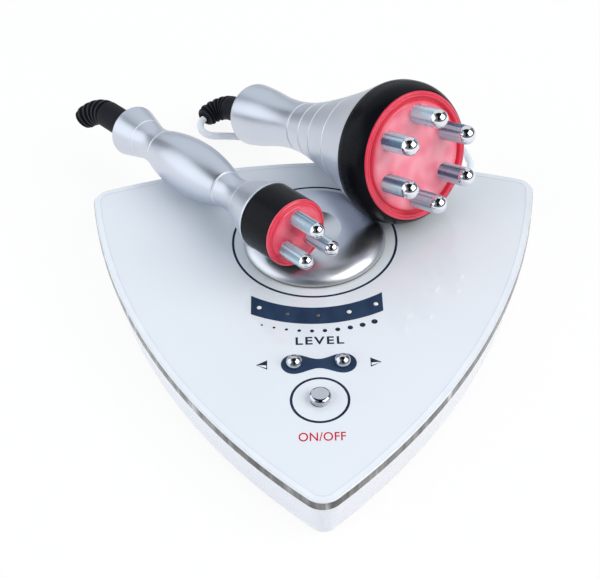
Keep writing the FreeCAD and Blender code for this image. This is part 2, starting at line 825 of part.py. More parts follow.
small_bulb_end = from_tail(small_bulb_rear, small_length)
small_waist = from_tail(small_waist_rear, small_length)
small_cap_start = from_tail(small_cap_rear, small_length)
small_cap_middle = from_tail(small_cap_middle_rear, small_length)
small_bulb_length = small_bulb_end[1] - small_bulb_start[1]
small_bulb = (small_bulb_radius, small_bulb_start[1] + small_bulb_crest * small_bulb_length)
small_board_front = small_collar_end - small_spigot_length - board_thickness
small_electrode_places = ring_places(small_electrodes, small_electrode_pitch, small_electrode_phase)
small_collar_bore = small_lens_spigot + fit_gap
small_bulb_arc = (small_bulb_start, small_bulb, small_bulb_end)
small_neck_arc = (small_neck_start, small_neck, small_bulb_start)
small_waist_arc = (small_bulb_end, small_waist, small_cap_start)


def make_small_lens():
    lip = small_lens_radius - small_lip_width
    edge = small_lip_round
    lens = turned([(0, small_lens_recess), (lip, small_lens_recess), (lip + edge, 0),
                   (small_lens_radius - edge, 0), (small_lens_radius, edge),
                   (small_lens_radius, small_lens_edge), (small_lens_spigot, small_lens_edge),
                   (small_lens_spigot, small_lens_depth), (0, small_lens_depth)])
    return drilled(lens, small_electrode_places, small_electrode_radius + fit_gap, 0, small_lens_depth)


def make_small_collar():
    return disc_between(small_collar_radius, small_lens_edge, small_collar_end).cut(
        disc_between(small_collar_bore, small_lens_edge, small_collar_end))


def make_small_handle():
    spigot = small_collar_bore - fit_gap
    spigot_front = small_collar_end - small_spigot_length
    hollow = spigot - small_spigot_wall
    hollow_end = small_collar_end + small_cavity_depth
    cap_pocket, cap_depth = small_cap_spigot[0] + fit_gap, small_cap_spigot[1] + fit_gap
    joint = small_cap_start[1]
    handle = turned([(spigot, spigot_front), (spigot, small_collar_end),
                     (small_cup_radius, small_collar_end),
                     (small_cup_radius, small_collar_end + small_cup_edge),
                     (*small_cup_middle, *small_cup_foot), small_neck_start,
                     (*small_neck, *small_bulb_start), (*small_bulb, *small_bulb_end),
                     (*small_waist, *small_cap_start), (cap_pocket, joint), (cap_pocket, joint - cap_depth),
                     (small_bore_radius, joint - cap_depth), (small_bore_radius, hollow_end),
                     (hollow, small_collar_end), (hollow, spigot_front)])
    handle = grooved(handle, small_neck_arc, [small_neck_groove])
    return grooved(handle, small_waist_arc, [small_length - small_groove_rear])


def make_small_cap():
    (spigot, spigot_length), joint = small_cap_spigot, small_cap_start[1]
    bore = cord_diameter / 2 + fit_gap
    return turned([(spigot, joint - spigot_length), (spigot, joint), small_cap_start,
                   (*small_cap_middle, small_tail_radius, small_length - small_tail_round)]
                  + tail_end(small_tail_radius, small_length, small_tail_round)
                  + [(bore, small_length), (bore, joint - spigot_length)])


# Strain reliefs

def relief_line(frame, length, sleeve, bend_radius, turn_angle, droop_angle):
    """A strain relief's start, the end of its sleeve, the bend's axis, and its points and directions."""
    turn, droop = math.radians(turn_angle), math.radians(droop_angle)
    across, up, along = [frame.Rotation.multVec(v) for v in (Vec(1, 0, 0), Vec(0, 1, 0), Vec(0, 0, 1))]
    back = along * -1
    aside = across * -math.cos(droop) - up * math.sin(droop)
    start = frame.multVec(Vec(0, 0, -length))
    knee = start + back * sleeve

    def at(share):
        ahead, sideways = math.sin(turn * share), math.cos(turn * share)
        point = knee + (back * ahead + aside * (1 - sideways)) * bend_radius
        return point, back * sideways + aside * ahead

    return start, knee, back.cross(aside), at


def ring_wire(point, direction, side, radius):
    circle = Part.Circle(point, direction, radius)
    circle.XAxis = side
    return Part.Wire(circle.toShape())


def make_relief(*shape):
    """Sleeve with tapering ribs, ruled through four circles to a rib, and a short bore at the tip."""
    start, knee, side, at = relief_line(*shape)
    back = at(0)[1]
    rings = [ring_wire(start, back, side, relief_radius), ring_wire(knee, back, side, relief_radius)]
    step = 1 / relief_ribs
    for rib in range(relief_ribs):
        crest = relief_radius + (relief_tip_radius - relief_radius) * (rib + 1) * step
        root = crest - relief_groove
        for place, radius in zip(relief_rib_shares, (root, root, crest, crest)):
            point, direction = at((rib + place) * step)
            rings.append(ring_wire(point, direction, side, radius))
    relief = Part.makeLoft(rings, True, True)
    tip, direction = at(1)
    bore = cord_diameter / 2 + fit_gap
    return relief.cut(Part.makeCylinder(bore, relief_bore_depth, tip, direction * -1))


# Lowering a handpiece onto the base

def settled_frame(handle, place, heading, rise, tilt, seats):
    """Frame of a handpiece lowered and tilted until it lies just above both of its seats."""
    probe = 0.5
    height = base_height + disc_height + rise

    def gaps(at_height, at_tilt):
        frame = heading_frame(Vec(*place, at_height), heading, at_tilt)
        lying = placed(handle, frame)
        return [lying.distToShape(seat)[0] for seat in seats]

    while min(gaps(height, tilt)) < rest_gap:
        height += probe
    for _ in range(4):
        here, lifted, dipped = gaps(height, tilt), gaps(height + probe, tilt), gaps(height, tilt - probe)
        lift = [(b - a) / probe for a, b in zip(here, lifted)]
        dip = [(b - a) / probe for a, b in zip(here, dipped)]
        want = [rest_gap - g for g in here]
        scale = lift[0] * dip[1] - lift[1] * dip[0]
        height += (want[0] * dip[1] - want[1] * dip[0]) / scale
        tilt -= (lift[0] * want[1] - lift[1] * want[0]) / scale
    left = [round(gap, 3) for gap in gaps(height, tilt)]
    print("settled at", round(height, 3), "tilt", round(tilt, 3), "gaps", left)
    return heading_frame(Vec(*place, height), heading, tilt)


# Build the base

disc = make_disc()
glass = make_glass()
save("base_housing", make_housing())
save("bottom_cover", make_cover())
save("cover_screws", make_cover_screws())
for number, foot in enumerate(make_feet().Solids, 1):
    save("foot_" + str(number), foot)
save("glass_top", glass)
save("backing_panel", make_panel())
save("indicator_window", window_strip(0))
save("holder_disc", disc)
save("disc_gasket", make_gasket())
save("control_board", make_control_board())
save("tact_switches", make_switches())
save("indicator_leds", make_indicator_leds())
save("board_standoffs", make_standoffs())
save("rf_board", make_rf_board())
save("rf_transformer", make_transformer())
save("capacitors", make_capacitors())
save("heat_sink", make_heat_sink())
save("buzzer", make_buzzer())
save("dc_inlet", make_inlet())
save("large_socket", make_socket(socket_offset))
save("small_socket", make_socket(-socket_offset))
for name in button_places:
    save(name, make_button(name))

# Build the large handpiece

large_handle = make_large_handle()
large_frame = settled_frame(large_handle, large_lens_place, large_heading, large_lens_rise, large_tilt,
                            (disc, glass))
large_electrode_set = make_electrodes(large_electrode_radius, large_electrode_pitch, large_electrodes,
                                      large_electrode_phase, large_electrode_reach, large_lens_back,
                                      large_board_front)
save("large_handle", placed(large_handle, large_frame))
save("large_head_rim", placed(make_large_rim(), large_frame))
save("large_lens", placed(make_large_lens(), large_frame))
for number, electrode in enumerate(large_electrode_set, 1):
    save("large_electrode_" + str(number), placed(electrode, large_frame))
large_led_board = disc_between(large_rear_bore - fit_gap, large_board_front, large_spigot_front)
large_lamp_set = make_lamps(ring_places(large_lamps, large_lamp_pitch), large_lens_back + lamp_gap,
                            large_board_front)
save("large_led_board", placed(large_led_board, large_frame))
save("large_leds", placed(large_lamp_set, large_frame))
save("large_gland", placed(make_gland(large_length), large_frame))
large_relief = (large_frame, large_length, large_relief_sleeve, large_relief_bend_radius,
                large_relief_turn_angle, large_relief_droop_angle)
save("large_strain_relief", make_relief(*large_relief))

# Build the small handpiece

small_handle = make_small_handle()
small_frame = settled_frame(small_handle, small_lens_place, small_heading, small_lens_rise, small_tilt,
                            (disc, glass))
small_electrode_set = make_electrodes(small_electrode_radius, small_electrode_pitch, small_electrodes,
                                      small_electrode_phase, small_electrode_reach, small_lens_depth,
                                      small_board_front)
save("small_handle", placed(small_handle, small_frame))
save("small_tail_cap", placed(make_small_cap(), small_frame))
save("small_collar", placed(make_small_collar(), small_frame))
save("small_lens", placed(make_small_lens(), small_frame))
for number, electrode in enumerate(small_electrode_set, 1):
    save("small_electrode_" + str(number), placed(electrode, small_frame))
small_led_board = disc_between(small_collar_bore - fit_gap, small_board_front,
                               small_board_front + board_thickness)
small_lamp = make_lamps([(0, 0)], small_lens_depth + lamp_gap, small_board_front)
save("small_led_board", placed(small_led_board, small_frame))
save("small_led", placed(small_lamp, small_frame))
small_relief = (small_frame, small_length, small_relief_sleeve, small_relief_bend_radius,
                small_relief_turn_angle, small_relief_droop_angle)
save("small_strain_relief", make_relief(*small_relief))

# Cord of the large handpiece: plug, lead, tied put-away coil and run to the strain relief

cord_rest = floor_z + cord_diameter / 2 + cord_floor_gap
coil_rest = cord_rest + tie_thickness + tie_gap
coil_sweep = 360.0 * coil_turns + coil_end_angle - coil_start_angle
coil_centre = Vec(coil_offset, rear_edge + coil_rear_gap + coil_outer + cord_diameter / 2, 0)
plug_frame = rear_frame(socket_offset)
socket_front = socket_flange_thickness - socket_face_depth
plug_start = socket_front + plug_gap
plug_end = plug_start + plug_ring_length
cord_start = plug_end + plug_boot_length


def make_plug():
    ring_bore = socket_barrel_radius + plug_gap
    ring = ring_bore + plug_ring_wall
    spigot = socket_bore_radius - plug_gap
    bottom = socket_front + socket_barrel_length + plug_gap
    nose = bottom - plug_spigot_length
    plug = turned([(0, -nose), (spigot, -nose), (spigot, -bottom), (ring_bore, -bottom),
                   (ring_bore, -plug_start), (ring, -plug_start), (ring, -plug_end),
                   (ring - plug_boot_step, -plug_end), (plug_boot_tip, -cord_start), (0, -cord_start)])
    return placed(plug, plug_frame)


def tangent_path(points):
    """Straight runs joined by tangent arcs, each as large as its two runs allow."""
    edges, radii, here = [], [], points[0]
    for before, corner, after in zip(points, points[1:], points[2:]):
        back, ahead = before - corner, after - corner
        reach = cord_bend_share * min(back.Length, ahead.Length)
        back, ahead = unit(back), unit(ahead)
        half_turn = (math.pi - back.getAngle(ahead)) / 2
        radius = reach / math.tan(half_turn)
        radii.append(round(radius, 1))
        start, end = corner + back * reach, corner + ahead * reach
        middle = corner + unit(back + ahead) * (radius / math.cos(half_turn) - radius)
        edges += [Part.LineSegment(here, start).toShape(), Part.Arc(start, middle, end).toShape()]
        here = end
    edges.append(Part.LineSegment(here, points[-1]).toShape())
    return edges, radii


def make_tube(edges, start, direction):
    path = Part.Wire(edges)
    section = Part.Wire(Part.Circle(start, direction, cord_diameter / 2).toShape())
    tube = path.makePipeShell([section], True, False)
    print("tube length", round(path.Length, 1), "volume share",
          round(tube.Volume / (path.Length * math.pi * cord_diameter**2 / 4), 5))
    return tube


def coil_point(share):
    """Point of the coil at a share of its way: in on the lower layer, climbing, and out on the upper."""
    turned_by = coil_sweep * share
    angle = math.radians(coil_start_angle + turned_by)
    radius = coil_outer - coil_pitch * min(turned_by, coil_sweep - turned_by) / 360
    climb = min(max((turned_by - coil_sweep / 2) / 180 + 0.5, 0), 1)
    height = coil_rest + coil_pitch * climb * climb * (3 - 2 * climb)
    return coil_centre + Vec(radius * math.cos(angle), radius * math.sin(angle), height)


def coil_tangent(share):
    step = 1e-5
    return unit(coil_point(min(share + step, 1)) - coil_point(max(share - step, 0)))


def arc_between(start, direction, end):
    """Arc that leaves start in a direction and ends at end."""
    chord = end - start
    bend = direction.getAngle(chord) / 2
    outward = unit(direction - unit(chord) * direction.dot(unit(chord)))
    middle = (start + end) * 0.5 + outward * (chord.Length / 2 * math.tan(bend))
    return Part.Arc(start, middle, end).toShape()


def biarc(start, start_direction, end, end_direction):
    """Two tangent arcs from one point and direction to another."""
    chord, both = end - start, start_direction + end_direction
    spread = 2 * (1 - start_direction.dot(end_direction))
    reach = chord.dot(both)
    step = (math.sqrt(reach**2 + spread * chord.dot(chord)) - reach) / spread
    joint = (start + end + (start_direction - end_direction) * step) * 0.5
    joint_direction = unit(joint - start - start_direction * step)
    return [arc_between(start, start_direction, joint), arc_between(joint, joint_direction, end)]


def make_coil():
    quarters = 4 * coil_turns + 1
    shares = [i / quarters for i in range(quarters + 1)]
    points, directions = [coil_point(s) for s in shares], [coil_tangent(s) for s in shares]
    lead_in = points[0] - directions[0] * cord_diameter
    lead_out = points[-1] + directions[-1] * cord_diameter
    edges = [Part.LineSegment(lead_in, points[0]).toShape()]
    for i in range(quarters):
        edges += biarc(points[i], directions[i], points[i + 1], directions[i + 1])
    edges.append(Part.LineSegment(points[-1], lead_out).toShape())
    return make_tube(edges, lead_in, directions[0]), lead_in, directions[0], lead_out, directions[-1]


def coil_gap():
    """Least gap between turns of the coil, measured on points a quarter turn or more apart."""
    per_turn = 72
    count = per_turn * coil_turns
    points = [coil_point(i / count) for i in range(count + 1)]
    apart = per_turn // 4
    return min((a - b).Length for i, a in enumerate(points) for b in points[i + apart:]) - cord_diameter


def make_tie():
    """Flat strap with a lock, round all the turns of the coil at one angle."""
    reaches = []
    for turn in range(coil_turns):
        point = coil_point((tie_angle - coil_start_angle + 360.0 * turn) / coil_sweep) - coil_centre
        reaches.append(math.hypot(point.x, point.y))
    half, room = tie_width / 2, cord_diameter / 2 + tie_gap
    inner = min(reaches) - room
    bow, drift = half**2 / (2 * inner), coil_pitch * half / (2 * math.pi * inner)
    near, far = inner - bow - drift, max(reaches) + room   # the inner turn bows and drifts under the strap
    low, high = coil_rest - room, coil_rest + coil_pitch + room

    def sleeve(grow):
        bar = block(near - grow, far + grow, -half, half, low - grow, high + grow)
        corners = [e for e in bar.Edges if e.BoundBox.YLength > half]
        return bar.makeFillet(tie_round + grow, corners)

    depth, overhang, height = tie_lock
    outside, middle = far + tie_thickness, (low + high) / 2
    lock = block(outside - tie_thickness / 2, outside + depth, -half - overhang, half + overhang,
                 middle - height / 2, middle + height / 2)
    tie = sleeve(tie_thickness).fuse(lock).cut(sleeve(0)).removeSplitter()
    tie.rotate(Vec(0, 0, 0), Vec(0, 0, 1), tie_angle)
    tie.translate(coil_centre)
    return tie


coil, coil_in, coil_in_direction, coil_out, coil_out_direction = make_coil()
print("least gap in the coil", round(coil_gap(), 2))

lead_start = plug_frame.multVec(Vec(0, 0, cord_start))
lead_direction = plug_frame.Rotation.multVec(Vec(0, 0, 1))
lead_points = [lead_start, lead_start + lead_direction * plug_exit_run, Vec(74.6, 70.0, 7.4),
               Vec(75.0, 77.0, 4.4), Vec(73.6, 83.8, 1.6), Vec(71.2, 90.2, cord_rest),
               coil_in - coil_in_direction * coil_entry_run, coil_in]

relief_tip, tip_direction = relief_line(*large_relief)[3](1)
run_end = relief_tip + tip_direction * cord_end_gap
run_points = [coil_out, coil_out + coil_out_direction * coil_exit_run,
              Vec(19.5, 118.0, 2.4), Vec(10.5, 113.6, 0.6),
              Vec(1.5, 108.6, cord_rest), Vec(-8.0, 103.6, cord_rest), Vec(-17.5, 99.8, cord_rest),
              Vec(-26.5, 97.2, cord_rest), Vec(-34.5, 95.5, cord_rest), Vec(-41.8, 94.8, cord_rest),
              run_end + Vec(3.2, -14.6, -4.75), run_end + Vec(-0.6, -12.1, -3.5),
              run_end + Vec(-2.7, -8.1, -1.9),
              run_end + tip_direction * relief_exit_run, run_end]

save("cord_plug", make_plug())
for name, points in (("cord_lead", lead_points), ("cord_run", run_points)):
    edges, radii = tangent_path(points)
    print(name, "radii", radii)
    save(name, make_tube(edges, points[0], unit(points[1] - points[0])))
save("cord_coil", coil)
save("cord_tie", make_tie())
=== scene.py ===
import bpy
import bmesh
import math
import numpy as np
from mathutils import Matrix, Vector


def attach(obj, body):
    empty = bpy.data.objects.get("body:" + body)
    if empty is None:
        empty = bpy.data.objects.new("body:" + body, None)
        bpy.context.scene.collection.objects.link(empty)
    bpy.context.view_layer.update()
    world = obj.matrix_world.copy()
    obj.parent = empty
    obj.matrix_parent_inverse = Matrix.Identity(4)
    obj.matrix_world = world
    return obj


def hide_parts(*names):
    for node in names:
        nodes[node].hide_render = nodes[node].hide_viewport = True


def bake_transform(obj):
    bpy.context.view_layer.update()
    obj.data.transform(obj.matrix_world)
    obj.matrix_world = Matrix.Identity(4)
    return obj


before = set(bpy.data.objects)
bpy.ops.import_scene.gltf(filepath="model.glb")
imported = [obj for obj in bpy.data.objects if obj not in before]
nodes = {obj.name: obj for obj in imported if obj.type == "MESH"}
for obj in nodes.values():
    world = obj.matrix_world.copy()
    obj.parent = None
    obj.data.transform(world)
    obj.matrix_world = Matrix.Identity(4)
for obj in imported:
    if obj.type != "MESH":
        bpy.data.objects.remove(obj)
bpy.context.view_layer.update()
mm = 0.001
floorHeight = -2.0  # the feet stand here, mm


# Camera at the photo's angle

camera = {
    "place": (-3.06159, -407.91316, 388.65308),  # mm
    "right": (0.99958421, -0.01480779, -0.02474153),
    "up": (0.02807447, 0.69548686, 0.71799014),
    "back": (0.00657556, -0.71838621, 0.69561341),
    "lens": 78.8626, "sensor": 36.0,  # mm
    "clip": (0.02, 100.0),  # m
}

cameraData = bpy.data.cameras.new("camera")
cameraData.lens = camera["lens"]
cameraData.sensor_width = camera["sensor"]
cameraData.sensor_fit = "HORIZONTAL"
cameraData.clip_start, cameraData.clip_end = camera["clip"]
cameraObject = bpy.data.objects.new("camera", cameraData)
cameraAxes = Matrix((camera["right"], camera["up"], camera["back"])).transposed().to_4x4()
cameraObject.matrix_world = Matrix.Translation(Vector(camera["place"]) * mm) @ cameraAxes
bpy.context.scene.collection.objects.link(cameraObject)
bpy.context.scene.camera = cameraObject
print("camera set")


# Shapes worked out on grids

def arcThrough(a, b, c, count=160):  # points of the circle through a, b and c, from a to c
    (ax, ay), (bx, by), (cx, cy) = a, b, c
    rows = np.array([[bx - ax, by - ay], [cx - ax, cy - ay]]) * 2
    squares = np.array([bx * bx + by * by - ax * ax - ay * ay, cx * cx + cy * cy - ax * ax - ay * ay])
    centre = np.linalg.solve(rows, squares)
    begin = math.atan2(ay - centre[1], ax - centre[0])
    end = math.atan2(cy - centre[1], cx - centre[0])
    side = np.sign((bx - ax) * (cy - by) - (by - ay) * (cx - bx))
    sweep = side * ((side * (end - begin)) % (2 * math.pi))
    angle = begin + sweep * np.linspace(0, 1, count)
    size = math.hypot(ax - centre[0], ay - centre[1])
    return np.stack([centre[0] + size * np.cos(angle), centre[1] + size * np.sin(angle)], 1)


def stepsToLine(steps):  # a pair is a straight step, a foursome an arc through its first pair to its second
    parts = [np.array([steps[0][-2:]], float)]
    for step in steps[1:]:
        here = tuple(parts[-1][-1])
        if len(step) == 4:
            parts.append(arcThrough(here, step[:2], step[2:])[1:])
        else:
            parts.append(np.array([step], float))
    return np.concatenate(parts)


def easedLine(steps, ease=0.4, closed=False, cuts=(), longest=3.0, widest=5.0):
    # the line is spaced evenly, its corners are eased by a moving average as wide as ease, and
    # points are kept where length over longest plus turning over widest adds up to one
    line = stepsToLine(list(steps) + [steps[0][-2:]] if closed else steps)
    along = np.concatenate([[0], np.cumsum(np.hypot(*np.diff(line, axis=0).T))])
    fine = 0.04
    even = np.linspace(0, along[-1], int(along[-1] / fine) + 1)
    dense = np.stack([np.interp(even, along, line[:, k]) for k in (0, 1)], 1)
    for station, depth, half, least in cuts:  # a soft groove at a station, on the outer side only
        dip = depth * np.exp(-((dense[:, 1] - station) / half) ** 2)
        dense[:, 0] -= np.where(dense[:, 0] > least, dip, 0)
    wide = max(int(ease / fine), 1)
    kernel = np.hanning(2 * wide + 3)[1:-1]
    kernel /= kernel.sum()
    if closed:
        longer = np.concatenate([dense[-wide - 1:-1], dense, dense[1:wide + 1]])
    else:
        longer = np.pad(dense, ((wide, wide), (0, 0)), mode="reflect", reflect_type="odd")
    soft = np.stack([np.convolve(longer[:, k], kernel, "valid") for k in (0, 1)], 1)
    leap = np.diff(soft, axis=0)
    heading = np.unwrap(np.arctan2(leap[:, 1], leap[:, 0]))
    turning = np.abs(np.diff(heading, prepend=heading[0]))
    tally = np.concatenate([[0], np.cumsum(np.hypot(*leap.T) / longest + np.degrees(turning) / widest)])
    kept = np.linspace(0, tally[-1], int(np.ceil(tally[-1])) + 1)
    thin = np.stack([np.interp(kept, tally, soft[:, k]) for k in (0, 1)], 1)
    return thin[:-1] if closed else thin


def turnedGrid(line, around=96):  # radius goes round the axis and a station lies behind the lens face
    angle = np.linspace(0, 2 * math.pi, around, endpoint=False)
    radius, station = line[:, :1], line[:, 1:]
    return np.stack([radius * np.cos(angle), radius * np.sin(angle), -station + 0 * angle], 2)


def handAxes(place, heading, tilt):  # columns across, up and along of a handpiece, and its lens centre
    h, t = math.radians(heading), math.radians(tilt)
    along = np.array([math.sin(h) * math.cos(t), -math.cos(h) * math.cos(t), math.sin(t)])
    across = np.array([-along[1], along[0], 0])
    across /= np.linalg.norm(across)
    return np.stack([across, np.cross(along, across), along], 1), np.array(place, float)


def uprightAt(place):  # unturned axes at a place on the base
    return np.eye(3), np.array([*place, 0.0])


def placedGrid(grid, axes):  # turned into the axes' columns and moved to their place
    turn, place = axes
    return grid @ turn.T + place


def gridFaces(rows, columns, closeRows, closeColumns):  # corners of each cell, with the closing cells
    index = np.arange(rows * columns).reshape(rows, columns)
    if closeColumns:
        index = np.concatenate([index, index[:, :1]], 1)
    if closeRows:
        index = np.concatenate([index, index[:1]], 0)
    return np.stack([index[:-1, :-1], index[:-1, 1:], index[1:, 1:], index[1:, :-1]], -1).reshape(-1, 4)


def gridUv(grid, closeRows, closeColumns):  # u is the share of the way round, v the length along a row line
    columns = grid.shape[1]
    line = grid[:, 0] if not closeRows else np.concatenate([grid[:, 0], grid[:1, 0]])
    along = np.concatenate([[0], np.cumsum(np.linalg.norm(np.diff(line, axis=0), axis=1))]) * mm
    u = np.arange(columns + closeColumns) / max(columns - 1 + closeColumns, 1)
    u, v = np.meshgrid(u, along)
    pair = np.stack([u, v], -1)
    return np.stack([pair[:-1, :-1], pair[:-1, 1:], pair[1:, 1:], pair[1:, :-1]], 2).reshape(-1, 2)


def addPiece(name, mesh, material, body, standsFor=()):
    mesh.materials.append(material)
    piece = bpy.data.objects.new(name, mesh)
    bpy.context.scene.collection.objects.link(piece)
    if standsFor:
        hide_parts(*standsFor)
    if body:
        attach(piece, body)
    return piece


joining = {
    "poleWidth": 1e-6,  # mm across an end row that is a pole
    "pointGap": 2e-6,  # m between points that are joined
}


def gridPiece(name, grid, material, body, closeRows=False, closeColumns=True, standsFor=(), marks=None):
    # grid is rows by columns by three, in mm; faces are turned outwards, or up on an open sheet; marks gives
    # each row a number that the finish reads
    rows, columns = grid.shape[:2]
    points = grid.reshape(-1, 3) * mm
    faces = gridFaces(rows, columns, closeRows, closeColumns)
    uv = gridUv(grid, closeRows, closeColumns)
    a, b, c, d = (points[faces[:, k]] for k in range(4))
    normal = np.cross(c - a, d - b)
    widestEnd = max(np.ptp(grid[0], axis=0).max(), np.ptp(grid[-1], axis=0).max())
    shut = closeColumns and (closeRows or widestEnd < joining["poleWidth"])
    outward = (normal * (a + b + c + d)).sum() if shut else normal[:, 2].sum()
    if outward < 0:
        faces = faces[:, ::-1]
        uv = uv.reshape(-1, 4, 2)[:, ::-1].reshape(-1, 2)
    mesh = bpy.data.meshes.new(name)
    mesh.vertices.add(len(points))
    mesh.vertices.foreach_set("co", points.ravel().astype(np.float32))
    mesh.loops.add(faces.size)
    mesh.loops.foreach_set("vertex_index", faces.ravel().astype(np.int32))
    mesh.polygons.add(len(faces))
    mesh.polygons.foreach_set("loop_start", np.arange(0, faces.size, 4, dtype=np.int32))
    mesh.polygons.foreach_set("use_smooth", np.ones(len(faces), bool))
    mesh.uv_layers.new(name="UVMap").data.foreach_set("uv", uv.ravel().astype(np.float32))
    if marks is not None:
        perPoint = np.repeat(np.asarray(marks, np.float32), columns)
        mesh.attributes.new("mark", "FLOAT", "POINT").data.foreach_set("value", perPoint)
    mesh.update(calc_edges=True)
    closing = bmesh.new()  # joins the points that meet at a pole
    closing.from_mesh(mesh)
    bmesh.ops.remove_doubles(closing, verts=closing.verts, dist=joining["pointGap"])
    closing.to_mesh(mesh)
    closing.free()
    return addPiece(name, mesh, material, body, standsFor)


# Finishes: node materials, with sums written as plain expressions

class Wire:  # a node's output; + - and * add Math nodes
    def __init__(self, finish, node, socket):
        self.finish, self.node, self.socket = finish, node, socket

    def out(self, name):
        return Wire(self.finish, self.node, self.node.outputs[name])

    def sum(self, operation, first, second):
        return self.finish.add("ShaderNodeMath", {"operation": operation}, {0: first, 1: second})

    def __add__(self, other):
        return self.sum("ADD", self, other)

    def __radd__(self, other):
        return self.sum("ADD", other, self)

    def __sub__(self, other):
        return self.sum("SUBTRACT", self, other)

    def __rsub__(self, other):
        return self.sum("SUBTRACT", other, self)

    def __mul__(self, other):
        return self.sum("MULTIPLY", self, other)

    def __rmul__(self, other):
        return self.sum("MULTIPLY", other, self)


class Finish:  # a material round Blender's own Principled shader
    def __init__(self, name):
        self.material = bpy.data.materials.new(name)
        self.material.use_nodes = True
        self.tree = self.material.node_tree
        self.shader = self.tree.nodes["Principled BSDF"]

    def put(self, socket, value):  # a link, a colour or a plain value
        if isinstance(value, Wire):
            self.tree.links.new(value.socket, socket)
        elif isinstance(value, tuple) and len(value) == 3 and socket.type == "RGBA":
            socket.default_value = (*value, 1.0)
        else:
            socket.default_value = value

    def add(self, kind, settings=None, sockets=None, output=0):  # any node: its settings, then its sockets
        node = self.tree.nodes.new(kind)
        for key, value in (settings or {}).items():
            if key == "stops":
                while len(node.color_ramp.elements) < len(value):
                    node.color_ramp.elements.new(1.0)
                for element, (position, colour) in zip(node.color_ramp.elements, value):
                    element.position, element.color = position, (*colour, 1.0)
            else:
                setattr(node, key, value)
        for key, value in (sockets or {}).items():
            self.put(node.inputs[key], value)
        return Wire(self, node, node.outputs[output])

    def place(self, axes=None, scale=(1, 1, 1)):  # Object coordinates, turned into a handpiece's own axes
        spot = self.add("ShaderNodeTexCoord", output="Object")
        if axes is not None:
            turn, origin = axes
            euler = Matrix(turn.T.tolist()).to_euler()
            shift = -(turn.T @ origin) * mm
            spot = self.add("ShaderNodeMapping", {}, {"Vector": spot, "Rotation": tuple(euler),
                                                      "Location": tuple(shift)})
        if scale != (1, 1, 1):
            spot = self.add("ShaderNodeMapping", {}, {"Vector": spot, "Scale": scale})
        return spot

    def surface(self, scale=(1, 1, 1)):  # the piece's own UV map
        spot = self.add("ShaderNodeTexCoord", output="UV")
        return self.add("ShaderNodeMapping", {}, {"Vector": spot, "Scale": scale})

    def noise(self, spot, scale, detail=2.0):
        return self.add("ShaderNodeTexNoise", {}, {"Vector": spot, "Scale": scale, "Detail": detail})

    def between(self, value, low, high, toLow=0.0, toHigh=1.0):  # smooth step from low to high
        return self.add("ShaderNodeMapRange", {"interpolation_type": "SMOOTHSTEP"},
                        {"Value": value, "From Min": low, "From Max": high,
                         "To Min": toLow, "To Max": toHigh})

    def spread(self, value, toLow, toHigh):  # a noise's usual range, carried to a range of its own
        return self.between(value, 0.3, 0.7, toLow, toHigh)

    def part(self, spot, letter):  # one coordinate of a place
        return self.add("ShaderNodeSeparateXYZ", {}, {0: spot}, letter)

    def mix(self, share, first, second):
        return self.add("ShaderNodeMix", {"data_type": "RGBA"}, {0: share, 6: first, 7: second}, 2)

    def bump(self, height, strength, distance):
        return self.add("ShaderNodeBump", {}, {"Height": height, "Strength": strength, "Distance": distance})

    def dress(self, sockets):  # sets the shader's sockets
        for key, value in sockets.items():
            self.put(self.shader.inputs[key], value)
        return self.material


def tint(red, green, blue):  # screen values 0 to 255 as linear colour
    share = np.array([red, green, blue]) / 255
    linear = np.where(share <= 0.04045, share / 12.92, ((share + 0.055) / 1.055) ** 2.4)
    return tuple(float(v) for v in linear)


def mouldedFinish(name, pale, deep, rough, grain=0.04, coat=0.0, shine=0.5):
    # moulded plastic: slow tone, fine grain
    f = Finish(name)
    spot = f.place()
    fine = f.noise(spot, scale=2600.0)
    return f.dress({"Base Color": f.mix(f.noise(spot, scale=45.0), deep, pale),
                    "Roughness": f.spread(fine, rough - 0.04, rough + 0.05),
                    "Coat Weight": coat, "Coat Roughness": 0.08, "Specular IOR Level": shine,
                    "Normal": f.bump(fine, strength=grain, distance=0.0002)})


def latheTone(f, spot, pale, deep, rough):  # fine lines round the axis with a slow cloud over them
    lathe = f.noise(f.surface(scale=(0.6, 9000.0, 1.0)), scale=1.0, detail=3.0)
    cloud = f.noise(spot, scale=60.0, detail=3.0)
    tone = f.mix(lathe * 0.5 + cloud * 0.5, deep, pale)
    return lathe, tone, f.spread(lathe * 0.6 + cloud * 0.4, rough - 0.05, rough + 0.06)


def turnedMetal(name, pale, deep, rough, lines=0.06, axes=None, highlightLines=()):
    # turned metal, with a painted highlight at each listed station: a pale, less metallic line where a cut
    # groove would catch the light
    f = Finish(name)
    spot = f.place(axes)
    lathe, tone, gloss = latheTone(f, spot, pale, deep, rough)
    metal = 1.0
    if highlightLines:
        height = f.part(spot, "Z")
        for station, half in highlightLines:
            away = f.add("ShaderNodeMath", {"operation": "ABSOLUTE"}, {0: height + station * mm})
            # painted highlight: a pale line round the handle, with the metal mostly turned off there
            line = f.between(away, half * 0.5 * mm, half * mm, 1.0, 0.0)
            tone = f.mix(line, tone, tint(238, 241, 247))
            metal = metal - line * 0.75
    return f.dress({"Base Color": tone, "Metallic": metal, "Roughness": gloss,
                    "Normal": f.bump(lathe, strength=lines, distance=0.0001)})


def discFinish(name, pale, deep, rough, edgeTop):  # turned metal whose lowest edge, below edgeTop, is an olive band that is less metallic
    f = Finish(name)
    spot = f.place()
    lathe, tone, gloss = latheTone(f, spot, pale, deep, rough)
    edge = f.between(f.part(spot, "Z"), (edgeTop - 0.15) * mm, (edgeTop + 0.15) * mm, 1.0, 0.0)
    return f.dress({"Base Color": f.mix(edge, tone, tint(112, 110, 84)), "Metallic": 1 - edge * 0.8,
                    "Roughness": gloss, "Normal": f.bump(lathe, strength=0.05, distance=0.0001)})


